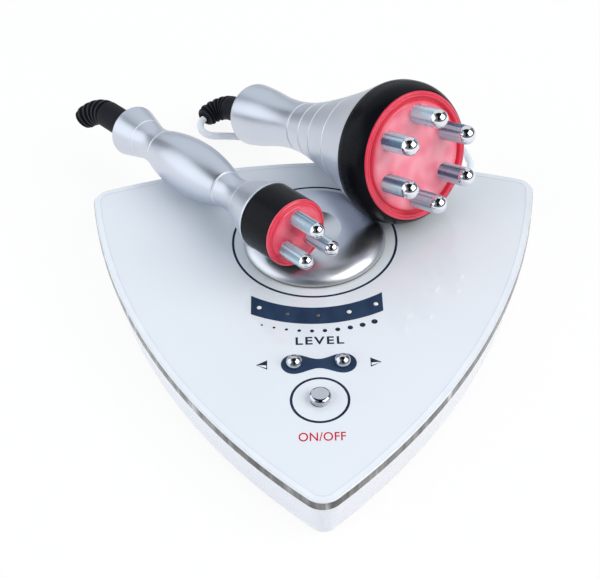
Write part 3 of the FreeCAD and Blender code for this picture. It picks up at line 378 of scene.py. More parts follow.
def polishedMetal(name, pale, deep, rough):  # polished metal with faint smears
    f = Finish(name)
    smear = f.noise(f.place(), scale=220.0, detail=4.0)
    return f.dress({"Base Color": f.mix(smear, deep, pale), "Metallic": 1.0,
                    "Roughness": f.between(smear, 0.35, 0.75, rough, rough + 0.06)})


def electrodeFinish(name, axes, ballArc):
    # chrome ball as far as an arc from its nose, in mm, then a satin shaft with lengthwise streaks, partly
    # drawn-steel grain and mostly painted reflections, in a blue-grey that offsets the lens's red light
    f = Finish(name)
    shaft = f.between(f.part(f.surface(), "Y"), ballArc * mm, (ballArc + 0.3) * mm)
    streak = f.between(f.noise(f.place(axes, scale=(1.0, 1.0, 0.02)), scale=420.0), 0.36, 0.62)
    smear = f.noise(f.place(), scale=260.0, detail=3.0)
    # painted reflection: dark and light blue-grey streaks along the shaft
    paintedStreaks = f.mix(streak, tint(72, 104, 134), tint(196, 220, 232))
    polish = f.mix(smear, tint(228, 230, 236), tint(243, 244, 247))
    return f.dress({"Base Color": f.mix(shaft, polish, paintedStreaks), "Metallic": 1 - shaft * 0.85,
                    "Roughness": f.between(smear, 0.35, 0.75, 0.03, 0.07) + shaft * 0.24})


def printFinish(name, pale, deep):  # ink on the glass, a little uneven
    f = Finish(name)
    streak = f.noise(f.place(scale=(1.0, 0.35, 1.0)), scale=140.0, detail=3.0)
    return f.dress({"Base Color": f.mix(f.between(streak, 0.35, 0.7), deep, pale), "Specular IOR Level": 0.1,
                    "Roughness": f.spread(f.noise(f.place(), scale=900.0), 0.35, 0.48)})


def glowFinish(name, core, glow, strength):  # the epoxy of a lamp: two tones in a fine haze
    f = Finish(name)
    tone = f.mix(f.noise(f.place(), scale=900.0), glow, core)
    return f.dress({"Base Color": tone, "Roughness": 0.12, "Coat Weight": 0.6,
                    "Emission Color": tone, "Emission Strength": strength})


def lensFinish(name, axes, radius, pale, deep, glow):
    # red lens lit from behind: a pink face with soft cloudy spots, with painted shade making it a deeper red
    # in its channel and lip
    f = Finish(name)
    spot = f.place(axes)
    flat = f.add("ShaderNodeMapping", {}, {"Vector": spot, "Scale": (1.0, 1.0, 0.0)})
    away = f.add("ShaderNodeVectorMath", {"operation": "LENGTH"}, {0: flat}, "Value")
    # painted shade: a deeper red towards the channel and lip
    channelShade = f.between(away, radius * 0.72 * mm, radius * 0.9 * mm)
    cloud = f.between(f.noise(spot, scale=110.0, detail=1.0), 0.34, 0.68)
    fine = f.noise(spot, scale=1400.0)
    face = f.mix(channelShade, f.mix(cloud, deep, pale), tint(221, 60, 84))
    return f.dress({"Base Color": face, "Roughness": f.spread(fine, 0.14, 0.24),
                    "Coat Weight": 0.25, "Coat Roughness": 0.08, "Emission Color": face,
                    "Emission Strength": glow, "Normal": f.bump(fine, strength=0.05, distance=0.0002)})


def rubberFinish(name, pale, deep, rough, shine=0.3, glow=0.0):
    # rubber or vinyl with a fine grain; glow is painted light, a self glow in the pale tone that keeps a
    # shaded cord pale
    f = Finish(name)
    spot = f.place()
    fine = f.noise(spot, scale=1800.0, detail=3.0)
    return f.dress({"Base Color": f.mix(f.noise(spot, scale=90.0), deep, pale), "Specular IOR Level": shine,
                    "Roughness": f.spread(fine, rough - 0.08, rough + 0.1),
                    "Emission Color": pale, "Emission Strength": glow,
                    "Normal": f.bump(fine, strength=0.12, distance=0.0002)})


def ribbedFinish(name, ridgeHighlight, groove, smooth, dull):
    # rubber, paler and smoother on the rows that are marked as ridges, dull in the grooves between them; the
    # paler ridges are a painted highlight and the near-black grooves painted shade
    f = Finish(name)
    mark = f.add("ShaderNodeAttribute", {"attribute_name": "mark"}, output="Fac")
    fine = f.noise(f.place(), scale=1800.0, detail=3.0)
    return f.dress({"Base Color": f.mix(mark, groove, ridgeHighlight), "Specular IOR Level": 0.16,
                    "Roughness": dull - mark * (dull - smooth),
                    "Normal": f.bump(fine, strength=0.1, distance=0.0002)})


# Places of the two handpieces, and their finishes

largeHand = {"place": (42.1, 11.3, 55.697), "heading": 38.88, "tilt": 19.827}
smallHand = {"place": (-7.66, -21.78, 45.617), "heading": 38.17, "tilt": 8.462}
largeAxes = handAxes(**largeHand)
smallAxes = handAxes(**smallHand)

largeHighlights = [(37.1, 0.7), (52.7, 0.65), (63.7, 0.65), (74.0, 0.6)]  # station and half width of a painted highlight line at a cut
smallHighlights = [(31.7, 0.9), (46.4, 0.6), (92.8, 0.6), (107.1, 0.4)]
handleTone = (tint(222, 227, 236), tint(200, 206, 219))
finishes = {
    "housing": mouldedFinish("white_housing", tint(238, 240, 246), tint(230, 233, 242), rough=0.30,
                             grain=0.03, coat=0.2),
    "cover": mouldedFinish("white_cover", tint(224, 226, 232), tint(214, 217, 225), rough=0.45, grain=0.08),
    "discMetal": discFinish("disc_aluminium", tint(226, 229, 236), tint(206, 210, 219), rough=0.34,
                            edgeTop=23.2),
    "largeMetal": turnedMetal("large_handle_aluminium", *handleTone, rough=0.36, lines=0.05,
                              axes=largeAxes, highlightLines=largeHighlights),
    "smallMetal": turnedMetal("small_handle_aluminium", *handleTone, rough=0.36, lines=0.05,
                              axes=smallAxes, highlightLines=smallHighlights),
    "largePin": electrodeFinish("large_electrode_steel", largeAxes, ballArc=6.15),
    "smallPin": electrodeFinish("small_electrode_steel", smallAxes, ballArc=5.0),
    "button": polishedMetal("button_chrome", tint(214, 217, 224), tint(196, 200, 209), rough=0.08),
    "black": mouldedFinish("black_rim", tint(17, 18, 24), tint(10, 11, 15), rough=0.28, grain=0.03,
                            shine=0.1),
    "gland": mouldedFinish("gland_plastic", tint(52, 53, 58), tint(38, 39, 43), rough=0.42, grain=0.08),
    "relief": ribbedFinish("relief_rubber", tint(42, 44, 56), tint(1, 1, 3), smooth=0.38, dull=0.75),
    # the cord's glow is painted light that lifts it where it lies in shade
    "cord": rubberFinish("cord_vinyl", tint(238, 242, 248), tint(226, 231, 240), rough=0.4, glow=0.1),
    "tie": mouldedFinish("tie_nylon", tint(226, 228, 232), tint(214, 217, 222), rough=0.5, grain=0.06),
    "gasket": rubberFinish("gasket_rubber", tint(112, 110, 88), tint(88, 87, 70), rough=0.6),
    "foot": rubberFinish("foot_rubber", tint(58, 58, 62), tint(42, 42, 46), rough=0.7),
    "socket": mouldedFinish("socket_plastic", tint(48, 49, 54), tint(34, 35, 40), rough=0.4, grain=0.08),
    "navy": printFinish("navy_ink", tint(46, 66, 94), tint(38, 56, 83)),
    "navyLine": printFinish("navy_line_ink", tint(37, 52, 78), tint(28, 42, 66)),
    "redInk": printFinish("red_ink", tint(214, 26, 56), tint(198, 18, 46)),
    "whiteInk": printFinish("white_ink", tint(246, 248, 252), tint(234, 238, 246)),
    "bevelHighlight": printFinish("bevel_highlight", tint(237, 241, 247), tint(231, 236, 244)),
    "edgeInk": printFinish("edge_line_ink", tint(216, 224, 236), tint(208, 216, 230)),
    "lampWhite": glowFinish("indicator_white", tint(246, 244, 240), tint(206, 206, 208), strength=0.1),
    # the unlit amber lamps still carry a faint painted glow
    "lampAmber": glowFinish("indicator_amber", tint(112, 98, 74), tint(72, 72, 76), strength=0.02),
    "largeLens": lensFinish("large_lens_red", largeAxes, radius=26.5, pale=tint(247, 158, 174),
                            deep=tint(238, 124, 144), glow=0.12),
    "smallLens": lensFinish("small_lens_red", smallAxes, radius=14.1, pale=tint(230, 90, 112),
                            deep=tint(214, 64, 88), glow=0.12),
}
print("finishes:", len(finishes))


# Cord of the large handpiece: lead, put-away coil and run to the strain relief, whose path comes first

relief = {
    "tipShare": 0.86, "ribs": 6, "sleeveRows": 12, "ribRows": 14, "around": 48,
    "groove": 0.55, "dip": (0.25, 0.2), "ridgeHighlight": (0.75, 0.17),  # depth; middle and width as shares of a rib
    # sleeveMark is the share of the ridges' painted highlight that the plain sleeve gets
    "sleeveMark": 0.35, "noseShare": 0.16, "boreGap": 0.1, "mouthDepth": 3.0,
    "large": {"radius": 5.9, "start": 116.0, "sleeve": 20.0, "bend": 9.0, "turn": 105.0, "droop": 11.0},
    "small": {"radius": 6.2, "start": 119.5, "sleeve": 21.3, "bend": 18.0, "turn": 62.0, "droop": 45.0},
}


def reliefPath(axes, shape, share):  # straight along the sleeve, then round one bend; share -1 to 0 to 1
    turn, lens = axes
    across, up, along = turn.T
    droop = math.radians(shape["droop"])
    aside = -across * math.cos(droop) - up * math.sin(droop)
    knee = lens - along * (shape["start"] + shape["sleeve"])
    share = np.asarray(share, float)[:, None]
    angle = math.radians(shape["turn"]) * np.clip(share, 0, 1)
    point = knee + shape["bend"] * (-along * np.sin(angle) + aside * (1 - np.cos(angle)))
    point = point + along * shape["sleeve"] * np.clip(-share, 0, 1)
    ahead = -along * np.cos(angle) + aside * np.sin(angle)
    return point, ahead, np.cross(-along, aside)


cord = {
    "diameter": 3.4, "floorGap": 0.05, "tieRoom": 0.65, "endGap": 0.3, "around": 14,
    "plugEnd": (71.4923, 56.4743, 9.0), "plugDirection": (0.25, 0.96825, 0.0), "plugRun": 6.5,
    "lead": [(72.4, 70.0, 7.2), (72.5, 77.0, 4.2), (71.6, 83.8, 1.6), (70.3, 90.2, -0.25)],
    "coilCentre": (40.0, 93.0), "coilOuter": 27.8, "coilPitch": 3.9, "coilStart": 20.0, "coilEnd": 90.0,
    "coilTurns": 8, "perTurn": 18, "coilRun": 6.0,
    "run": [(19.5, 118.0, 2.4), (10.5, 113.6, 0.6), (1.5, 108.6, -0.25), (-8.0, 103.6, -0.25),
            (-16.5, 100.6, -0.25), (-24.0, 99.0, 0.3), (-31.5, 98.3, 1.4), (-38.5, 98.0, 2.4)],
    "outRun": 8.0, "outTurn": 5.5,
    "loopLevel": 2.9, "loopRun": 0.8, "loopRadius": 7.1, "loopTurn": 127.0, "loopPoints": 9,
}


def coilPoints():  # a spiral that winds in on the lower layer, climbs, and winds out on the upper one
    sweep = 360.0 * cord["coilTurns"] + cord["coilEnd"] - cord["coilStart"]
    turned = np.linspace(0, sweep, int(sweep / 360 * cord["perTurn"]) + 1)
    angle = np.radians(cord["coilStart"] + turned)
    radius = cord["coilOuter"] - cord["coilPitch"] * np.minimum(turned, sweep - turned) / 360
    inside = 0.75 + 0.25 * math.cos(2 * math.pi / cord["perTurn"])  # the spline runs inside its points
    radius = radius / inside
    climb = np.clip((turned - sweep / 2) / 180 + 0.5, 0, 1)
    rest = floorHeight + cord["diameter"] / 2 + cord["floorGap"] + cord["tieRoom"]
    height = rest + cord["coilPitch"] * climb * climb * (3 - 2 * climb)
    x, y = cord["coilCentre"]
    return np.stack([x + radius * np.cos(angle), y + radius * np.sin(angle), height], 1)


tip, tipAhead, _ = reliefPath(largeAxes, relief["large"], [1.0])
runEnd = tip[0] + tipAhead[0] * cord["endGap"]
plugEnd = np.array(cord["plugEnd"])
coil = coilPoints()


def wayRound(degrees):  # the way the coil runs at an angle
    return np.array([-math.sin(math.radians(degrees)), math.cos(math.radians(degrees)), 0.0])


def loopPoints():  # from the run round to the relief: an arc on its flat heading, rising by a smooth step
    flat = np.array([*tipAhead[0][:2], 0.0])
    flat /= np.linalg.norm(flat)
    side = np.array([-flat[1], flat[0], 0.0])
    share = np.linspace(1, 0, cord["loopPoints"])[:, None]
    angle = np.radians(cord["loopTurn"]) * share
    begin = runEnd + tipAhead[0] * cord["loopRun"]
    fall = begin[2] - cord["loopLevel"]
    level = np.array([0.0, 0.0, 1.0]) * fall * share * share * (3 - 2 * share)
    return begin + cord["loopRadius"] * (flat * np.sin(angle) + side * (1 - np.cos(angle))) - level


route = np.concatenate([
    [plugEnd, plugEnd + np.array(cord["plugDirection"]) * cord["plugRun"]],
    np.array(cord["lead"]),
    [coil[0] - wayRound(cord["coilStart"]) * cord["coilRun"]],
    coil,
    [coil[-1] + wayRound(cord["coilEnd"] + cord["outTurn"]) * cord["outRun"]],
    np.array(cord["run"]),
    loopPoints(),
    [runEnd]])

cordCurve = bpy.data.curves.new("cord_route", "CURVE")
cordCurve.dimensions = "3D"
cordSpline = cordCurve.splines.new("NURBS")
cordSpline.points.add(len(route) - 1)
cordSpline.points.foreach_set("co", np.column_stack([route * mm, np.ones(len(route))]).ravel())
cordSpline.order_u = 3
cordSpline.use_endpoint_u = True
cordSpline.resolution_u = 6
cordGuide = bpy.data.objects.new("cord_route", cordCurve)
bpy.context.scene.collection.objects.link(cordGuide)
bpy.context.view_layer.update()
cordLine = bpy.data.meshes.new_from_object(cordGuide)
cordPath = np.empty(len(cordLine.vertices) * 3)
cordLine.vertices.foreach_get("co", cordPath)
cordPath = cordPath.reshape(-1, 3) / mm
bpy.data.objects.remove(cordGuide)
bpy.data.meshes.remove(cordLine)


def tubeGrid(path, radius, around):  # circles square to the path, closed by a point at both ends
    ahead = np.gradient(path, axis=0)
    ahead /= np.linalg.norm(ahead, axis=1, keepdims=True)
    side = np.cross(ahead, [0.0, 0.0, 1.0])
    side /= np.linalg.norm(side, axis=1, keepdims=True)
    over = np.cross(side, ahead)
    angle = np.linspace(0, 2 * math.pi, around, endpoint=False)[None, :, None]
    rings = path[:, None] + radius * (side[:, None] * np.cos(angle) + over[:, None] * np.sin(angle))
    ends = [np.repeat(path[k][None, None], around, 1) for k in (0, -1)]
    return np.concatenate([ends[0], rings, ends[1]])


cordTube = tubeGrid(cordPath, cord["diameter"] / 2, cord["around"])
cordPiece = gridPiece("cord", cordTube, finishes["cord"], None,
                      standsFor=("cord_lead", "cord_coil", "cord_run"))
cordLength = float(np.linalg.norm(np.diff(cordPath, axis=0), axis=1).sum() * mm)
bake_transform(cordPiece)
print("cord:", round(cordLength, 3), "m on", len(cordPath), "points")


# Base: the outline that its border print follows, and the glass finish

base = {
    "height": 22.0,  # of the glass's face
    "rearEdge": 51.6, "rearBow": 272.0, "cornerReach": 95.8,
    "tipReach": 137.7, "sideBow": 263.8, "cornerRadius": 8.0, "tipRadius": 8.4,
    "points": 720, "arcStep": 0.5, "arcLeast": 60, "pace": 3.0,
}


def baseOutline():
    # three bowed edges joined by round corners: points round the glass, spaced by length plus turning over
    # pace, and their outward directions
    b = base
    rear = np.array([0.0, b["rearEdge"] - b["rearBow"]])
    corner = np.array([b["cornerReach"], rear[1] + math.sqrt(b["rearBow"] ** 2 - b["cornerReach"] ** 2)])
    nose = np.array([0.0, -b["tipReach"]])
    chord = nose - corner
    inward = np.array([chord[1], -chord[0]]) / np.hypot(*chord)
    side = (corner + nose) / 2 + inward * math.sqrt(b["sideBow"] ** 2 - (np.hypot(*chord) / 2) ** 2)

    def crossing(first, firstRadius, second, secondRadius):  # the right-hand of two circles' crossings
        line = second - first
        gap = np.hypot(*line)
        reach = (firstRadius ** 2 - secondRadius ** 2 + gap ** 2) / (2 * gap)
        line = line / gap
        return first + line * reach + np.array([line[1], -line[0]]) * math.sqrt(firstRadius ** 2 - reach ** 2)

    cornerMiddle = crossing(rear, b["rearBow"] - b["cornerRadius"], side, b["sideBow"] - b["cornerRadius"])
    tipMiddle = crossing(side, b["sideBow"] - b["tipRadius"], side * [-1, 1], b["sideBow"] - b["tipRadius"])

    def bearing(vector):  # its angle from the x axis
        return math.atan2(vector[1], vector[0])

    rearEnd = bearing(cornerMiddle - rear)
    sideStart = bearing(cornerMiddle - side)
    sideEnd = bearing(tipMiddle - side)
    arcs = [(rear, b["rearBow"], math.pi / 2, rearEnd), (cornerMiddle, b["cornerRadius"], rearEnd, sideStart),
            (side, b["sideBow"], sideStart, sideEnd), (tipMiddle, b["tipRadius"], sideEnd, -math.pi / 2)]
    points, outs = [], []
    for middle, radius, begin, end in arcs:
        count = max(int(radius * abs(end - begin) / b["arcStep"]), b["arcLeast"])
        angle = np.linspace(begin, end, count)
        out = np.stack([np.cos(angle), np.sin(angle)], 1)
        points.append(middle + radius * out)
        outs.append(out)
    points, outs = np.concatenate(points), np.concatenate(outs)
    points = np.concatenate([points, points[-2:0:-1] * [-1, 1]])
    outs = np.concatenate([outs, outs[-2:0:-1] * [-1, 1]])
    shut, shutOut = np.concatenate([points, points[:1]]), np.concatenate([outs, outs[:1]])
    turning = np.abs(np.diff(np.unwrap(np.arctan2(shutOut[:, 1], shutOut[:, 0]))))
    steps = np.hypot(*np.diff(shut, axis=0).T) / b["pace"] + np.degrees(turning) / b["pace"]
    tally = np.concatenate([[0], np.cumsum(steps)])
    even = np.linspace(0, tally[-1], b["points"], endpoint=False)
    point = np.stack([np.interp(even, tally, shut[:, k]) for k in (0, 1)], 1)
    out = np.stack([np.interp(even, tally, shutOut[:, k]) for k in (0, 1)], 1)
    return point, out / np.linalg.norm(out, axis=1, keepdims=True)


edgePoint, edgeOut = baseOutline()


def outlineGrid(line):  # a profile of (inset, height) carried round the base's outline
    inset, height = line[:, 0][:, None, None], line[:, 1][:, None]
    flat = edgePoint[None] - edgeOut[None] * inset
    return np.concatenate([flat, np.repeat(height[:, None], len(edgePoint), 1)], 2)


def glassFinish(name, shape):  # white back print under the flat top; the ground edge below it is streaked dark to white, partly its grinding and partly painted reflection and refraction of the clear edge
    f = Finish(name)
    spot = f.place()
    edge = 1 - f.between(f.part(spot, "Z"), shape["edgeTop"] * mm, (shape["edgeTop"] + 0.15) * mm)
    streak = f.noise(f.place(scale=(1.0, 1.0, 0.05)), scale=240.0, detail=4.0)
    band = f.noise(f.place(scale=(1.0, 1.0, 2.2)), scale=60.0)
    # painted reflection: the dark and white streaks stand for what the clear edge reflects and refracts
    edgeStreaksAndShine = f.add("ShaderNodeValToRGB", {"stops": shape["edgeStreaksAndShine"]}, {0: streak * 0.65 + band * 0.35})
    face = f.mix(f.noise(spot, scale=25.0), shape["deep"], shape["pale"])
    return f.dress({"Base Color": f.mix(edge, face, edgeStreaksAndShine), "Roughness": edge * 0.16 + 0.05,
                    "IOR": 1.49, "Specular IOR Level": 0.5})


glass = {
    "edgeTop": 21.55, "pale": tint(231, 236, 243), "deep": tint(226, 232, 240),
    "edgeStreaksAndShine": [(0.32, tint(56, 54, 54)), (0.45, tint(96, 94, 94)), (0.57, tint(136, 135, 134)),
               (0.70, tint(230, 232, 234))],
}
finishes["glass"] = glassFinish("pale_glass", glass)
print("base outline and glass")


# Print on the glass, just above its face

printing = {
    "height": 22.03, "lift": 0.01,  # a sheet that lies on another is lifted
    "ringRadius": 34.0, "ringWidth": 1.0,
    "barCentre": 7.7, "barInner": 47.8, "barOuter": 56.8, "barHalf": 26.1,
    "lampArc": 52.2, "lampAngles": (-25.9, -12.8, 0.5, 14.0, 26.6), "lampRadius": 1.0, "lampRise": 0.6,
    "lampsUnlit": (1, 2), "unlitShare": 0.8,
    "dotArc": 60.6, "dotFirst": -21.0, "dotStep": 4.73, "dotCount": 10, "dotSmall": 0.45, "dotLarge": 1.25,
    "pillLobe": (9.4, -70.1), "pillRadius": 5.0, "pillWaist": 2.4,
    "arrowInner": 19.6, "arrowOuter": 23.8, "arrowHalf": 2.4,
    "arrowWhole": (-1.0, 1.0, 0.0, 1.0), "arrowLight": (-0.72, -0.12, 0.08, 0.8),
    "powerRing": 10.7, "powerCentre": (0.0, -88.27), "powerWidth": 1.0,
    "edgeHighlightBand": (0.9, 2.8), "edgeLine": (2.8, 3.1),
    "levelWord": {"words": "LEVEL", "size": 5.6, "spacing": 1.22, "widen": 1.12, "weight": 0.13,
                  "centre": (0.5, -58.3)},
    "powerWord": {"words": "ON/OFF", "size": 5.6, "spacing": 1.05, "widen": 0.82, "weight": 0.05,
                  "centre": (0.3, -106.0)},
}


def sheetPiece(name, x, y, finish, lift=0.0):  # x and y are grids; the sheet lies flat on the glass
    grid = np.stack([x, y, np.full(x.shape, printing["height"] + lift)], 2)
    return gridPiece(name, grid, finishes[finish], "base", closeColumns=False)


def ringSheet(name, centre, inner, outer, finish, count=160):
    # radius from inner to outer, and an angle once round, measured from straight ahead
    angle = np.radians(np.linspace(0.0, 360.0, count))[None, :]
    radius = np.linspace(inner, outer, 2)[:, None]
    return sheetPiece(name, centre[0] + radius * np.sin(angle), centre[1] - radius * np.cos(angle), finish)


def barSheet(name):  # strip between two arcs about one centre, cut straight at both ends
    x = np.linspace(-printing["barHalf"], printing["barHalf"], 90)[None, :]
    radius = np.linspace(printing["barInner"], printing["barOuter"], 12)[:, None]
    y = printing["barCentre"] - np.sqrt(radius ** 2 - x ** 2)
    return sheetPiece(name, x + 0 * y, y, "navy", printing["lift"])


def pillSheet(name):
    # two round lobes joined by a waist: half height is the lobe's circle outside the lobes' middles,
    # and between them a smooth step from the waist up to the lobe's radius
    reach, across, waist = printing["pillLobe"][0], printing["pillRadius"], printing["pillWaist"]
    x = (reach + across) * np.sin(np.linspace(-math.pi / 2, math.pi / 2, 161))
    lobe = np.sqrt(np.clip(across ** 2 - (np.abs(x) - reach) ** 2, 0, None))
    share = np.clip(np.abs(x) / reach, 0, 1)
    half = np.where(share < 1, waist + (across - waist) * share * share * (3 - 2 * share), lobe)[None, :]
    v = np.linspace(-1, 1, 7)[:, None]
    return sheetPiece(name, x[None, :] + 0 * v, printing["pillLobe"][1] + v * half, "navy")


def arrowSheet(name, side, shares, finish, lift=0.0):
    # part of a triangle that points outwards: low to high across it, begin to end along it
    low, high, begin, end = shares
    along = np.linspace(begin, end, 12)[None, :]
    v = np.linspace(low, high, 4)[:, None]
    x = printing["arrowInner"] + along * (printing["arrowOuter"] - printing["arrowInner"])
    y = printing["pillLobe"][1] + v * printing["arrowHalf"] * (1 - along)
    return sheetPiece(name, side * x + 0 * v, y, finish, lift)


def onArc(reach, degrees):  # a place on an arc about the bar's centre, from straight ahead
    turn = math.radians(degrees)
    return reach * math.sin(turn), printing["barCentre"] - reach * math.cos(turn)


def dotSheets(name):  # dots that grow along an arc, each a small disc of radius times angle
    sizes = np.linspace(printing["dotSmall"], printing["dotLarge"], printing["dotCount"])
    for i, size in enumerate(sizes):
        centre = onArc(printing["dotArc"], printing["dotFirst"] + printing["dotStep"] * i)
        ringSheet(name + "_" + str(i + 1), centre, 0.0, size, "navyLine", count=32)


def wordPiece(name, shape, finish):  # flat lettering made a mesh, then widened and put in place
    curve = bpy.data.curves.new(name, "FONT")
    curve.body, curve.size, curve.space_character = shape["words"], shape["size"] * mm, shape["spacing"]
    curve.offset = shape["weight"] * mm
    curve.align_x, curve.align_y = "CENTER", "CENTER"
    letters = bpy.data.objects.new(name + "_letters", curve)
    bpy.context.scene.collection.objects.link(letters)
    bpy.context.view_layer.update()
    mesh = bpy.data.meshes.new_from_object(letters)
    bpy.data.objects.remove(letters)
    place = Matrix.Translation(Vector((*shape["centre"], printing["height"])) * mm)
    mesh.transform(place @ Matrix.Diagonal((shape["widen"], 1.0, 1.0, 1.0)))
    mesh.materials.clear()
    return addPiece(name, mesh, finishes[finish], "base")


def lampDome(name, centre, radius, finish):  # low dome: height falls with the square of the radius
    share = np.linspace(0, 1, 9)
    low = printing["height"] + printing["lift"]
    line = np.stack([radius * share, -(low + printing["lampRise"] * (1 - share ** 2))], 1)
    line = np.concatenate([line, [[0.0, -low]]])
    return gridPiece(name, placedGrid(turnedGrid(line, around=32), uprightAt(centre)), finishes[finish],
                     "base")


def lineSheet(name, centre, radius, width):  # a drawn ring of one radius and line width
    ringSheet(name, centre, radius - width / 2, radius + width / 2, "navyLine")


def edgeSheet(name, insets, finish):  # a band that follows the glass's outline between two insets
    line = np.stack([np.array(insets), np.full(2, printing["height"])], 1)
    gridPiece(name, outlineGrid(line), finishes[finish], "base")


lineSheet("disc_ring", (0, 0), printing["ringRadius"], printing["ringWidth"])
barSheet("indicator_bar")
for i, degrees in enumerate(printing["lampAngles"]):
    spot = onArc(printing["lampArc"], degrees)
    lit = i not in printing["lampsUnlit"]
    radius = printing["lampRadius"] * (1.0 if lit else printing["unlitShare"])
    lampDome("indicator_lamp_" + str(i + 1), spot, radius, "lampWhite" if lit else "lampAmber")
dotSheets("level_dot")
wordPiece("level_word", printing["levelWord"], "navyLine")
pillSheet("step_pill")
for side, word in ((-1, "left"), (1, "right")):
    arrowSheet(word + "_arrow", side, printing["arrowWhole"], "navyLine")
    arrowSheet(word + "_arrow_light", side, printing["arrowLight"], "whiteInk", printing["lift"])
lineSheet("power_ring", printing["powerCentre"], printing["powerRing"], printing["powerWidth"])
wordPiece("power_words", printing["powerWord"], "redInk")
# the edge band is a painted highlight of the glass's bevel, a paler band just inside its edge
edgeSheet("edge_highlight_band", printing["edgeHighlightBand"], "bevelHighlight")
edgeSheet("edge_line", printing["edgeLine"], "edgeInk")
print("print on the glass")


# Holder disc and buttons

disc = {"radius": 29.5, "top": 28.55, "edge": 22.8, "low": 22.5, "fullness": 3.2,
        "dimple": 11.0, "dimpleDepth": 2.7}


def discLine():  # a dished middle, then a quarter of a superellipse from the dish's rim down to the edge
    d = disc
    dishSize = (d["dimple"] ** 2 + d["dimpleDepth"] ** 2) / (2 * d["dimpleDepth"])
    dishFloor = d["top"] - d["dimpleDepth"]
    dishHalf = dishFloor + dishSize - math.sqrt(dishSize ** 2 - (d["dimple"] / 2) ** 2)
    turn = np.linspace(0, math.pi / 2, 60)[1:]
    radius = d["dimple"] + (d["radius"] - d["dimple"]) * np.sin(turn) ** (2 / d["fullness"])
    height = d["edge"] + (d["top"] - d["edge"]) * np.cos(turn)
    dome = [(r, -h) for r, h in zip(radius.tolist(), height.tolist())]
    return easedLine([(0, -dishFloor), (d["dimple"] / 2, -dishHalf, d["dimple"], -d["top"]), *dome,
                      (d["radius"], -d["low"]), (0, -d["low"])], ease=0.3)


gridPiece("disc", turnedGrid(discLine(), around=160), finishes["discMetal"], "base",
          standsFor=("holder_disc",))

buttons = {
    "power_button": {"place": (0.1, -88.1), "radius": 4.15, "stem": 3.7, "flare": (1.0, 1.8), "proud": 3.4,
                     "round": 1.5},
    "minus_button": {"place": (-9.3, -70.0), "radius": 3.2, "proud": 0.75},
    "plus_button": {"place": (9.1, -69.9), "radius": 3.2, "proud": 0.75},
}


def buttonLine(shape):  # stem from under the glass, then a ball, or a flared head with a flat top
    r = shape["radius"]
    foot = 17.0  # under the glass
    top = base["height"] + shape["proud"]
    if "flare" in shape:
        rounding, stem = shape["round"], shape["stem"]
        cut = rounding * (1 - math.sqrt(0.5))
        under, over = (base["height"] + h for h in shape["flare"])
        steps = [(0, -top), (r - rounding, -top), (r - cut, -top + cut, r, -top + rounding), (r, -over),
                 (stem, -under), (stem, -foot), (0, -foot)]
    else:
        slant = r * math.sqrt(0.5)
        steps = [(0, -top - r), (slant, -top - slant, r, -top), (r, -foot), (0, -foot)]
    return easedLine(steps, ease=0.15)


for name, shape in buttons.items():
    grid = placedGrid(turnedGrid(buttonLine(shape), around=64), uprightAt(shape["place"]))
    gridPiece(name + "_cap", grid, finishes["button"], name, standsFor=(name,))
print("disc and buttons")


# Handpieces

def tailEnd(radius, length, rounding):  # round edge from the tail's full radius to its end face
    slant = rounding * (1 - math.sqrt(0.5))
    return [(radius - slant, length - slant, radius - rounding, length)]


def ringPlaces(count, pitch, phase):  # points evenly round a circle of radius pitch, from phase in degrees
    angle = np.radians(phase + 360 / count * np.arange(count))
    return np.stack([pitch * np.cos(angle), pitch * np.sin(angle)], 1)


groove = {"depth": 0.4, "half": 0.34}  # of a cut line in a handle


def turnedShape(shape):  # a closed profile, with soft grooves in its outer side, turned round the axis
    cuts = [(s, groove["depth"], groove["half"], shape["grooveLeast"]) for s in shape.get("grooves", ())]
    return turnedGrid(easedLine(shape["line"], shape["ease"], True, cuts), shape["around"])


def electrodeLine(hand):  # ball nose, the shaft, and a hairline seam just behind where they meet
    r, reach, foot = hand["pinRadius"], hand["pinReach"], hand["pinFoot"]
    slant = r * math.sqrt(0.5)
    depth, half, least = 0.08, 0.14, r * 0.8
    return easedLine([(0, -reach - r), (slant, -reach - slant, r, -reach), (r, foot), (0, foot)], ease=0.05,
                     cuts=[(-reach + hand["seam"], depth, half, least)], widest=6.0)


def bossLine(hand):  # a sleeve round an electrode's foot, from the lens floor up, with a rounded outer edge
    pinGap, edge, cut = 0.05, 0.45, 0.29  # cut is an arc's middle as a share of its edge
    inner, outer, low, high = hand["pinRadius"] + pinGap, hand["bossRadius"], *hand["bossSpan"]
    corner = (outer - cut * edge, high + cut * edge, outer, high + edge)
    steps = [(inner, low), (inner, high), (outer - edge, high), corner, (outer, low)]
    return easedLine(steps, ease=0.1, closed=True)


def lensGrid(hand, shape, places):
    # height over the lens by radius: flat face, channel, lip and outer wall; inside the lip the face swells
    # a little round each electrode, by a smooth step
    line = easedLine(shape["line"], shape["ease"], longest=0.7, widest=8.0)
    grid = turnedGrid(line, shape["around"])
    away = np.linalg.norm(grid[:, :, None, :2] - places[None, None], axis=3).min(2)
    rise = np.clip((hand["bossRadius"] - away) / hand["swellRun"], 0, 1)
    rise = hand["swell"] * rise * rise * (3 - 2 * rise)
    face = np.arange(len(line)) < np.argmax(line[:, 0] > shape["lip"])
    grid[:, :, 2] += np.where(face[:, None], rise, 0)
    return grid


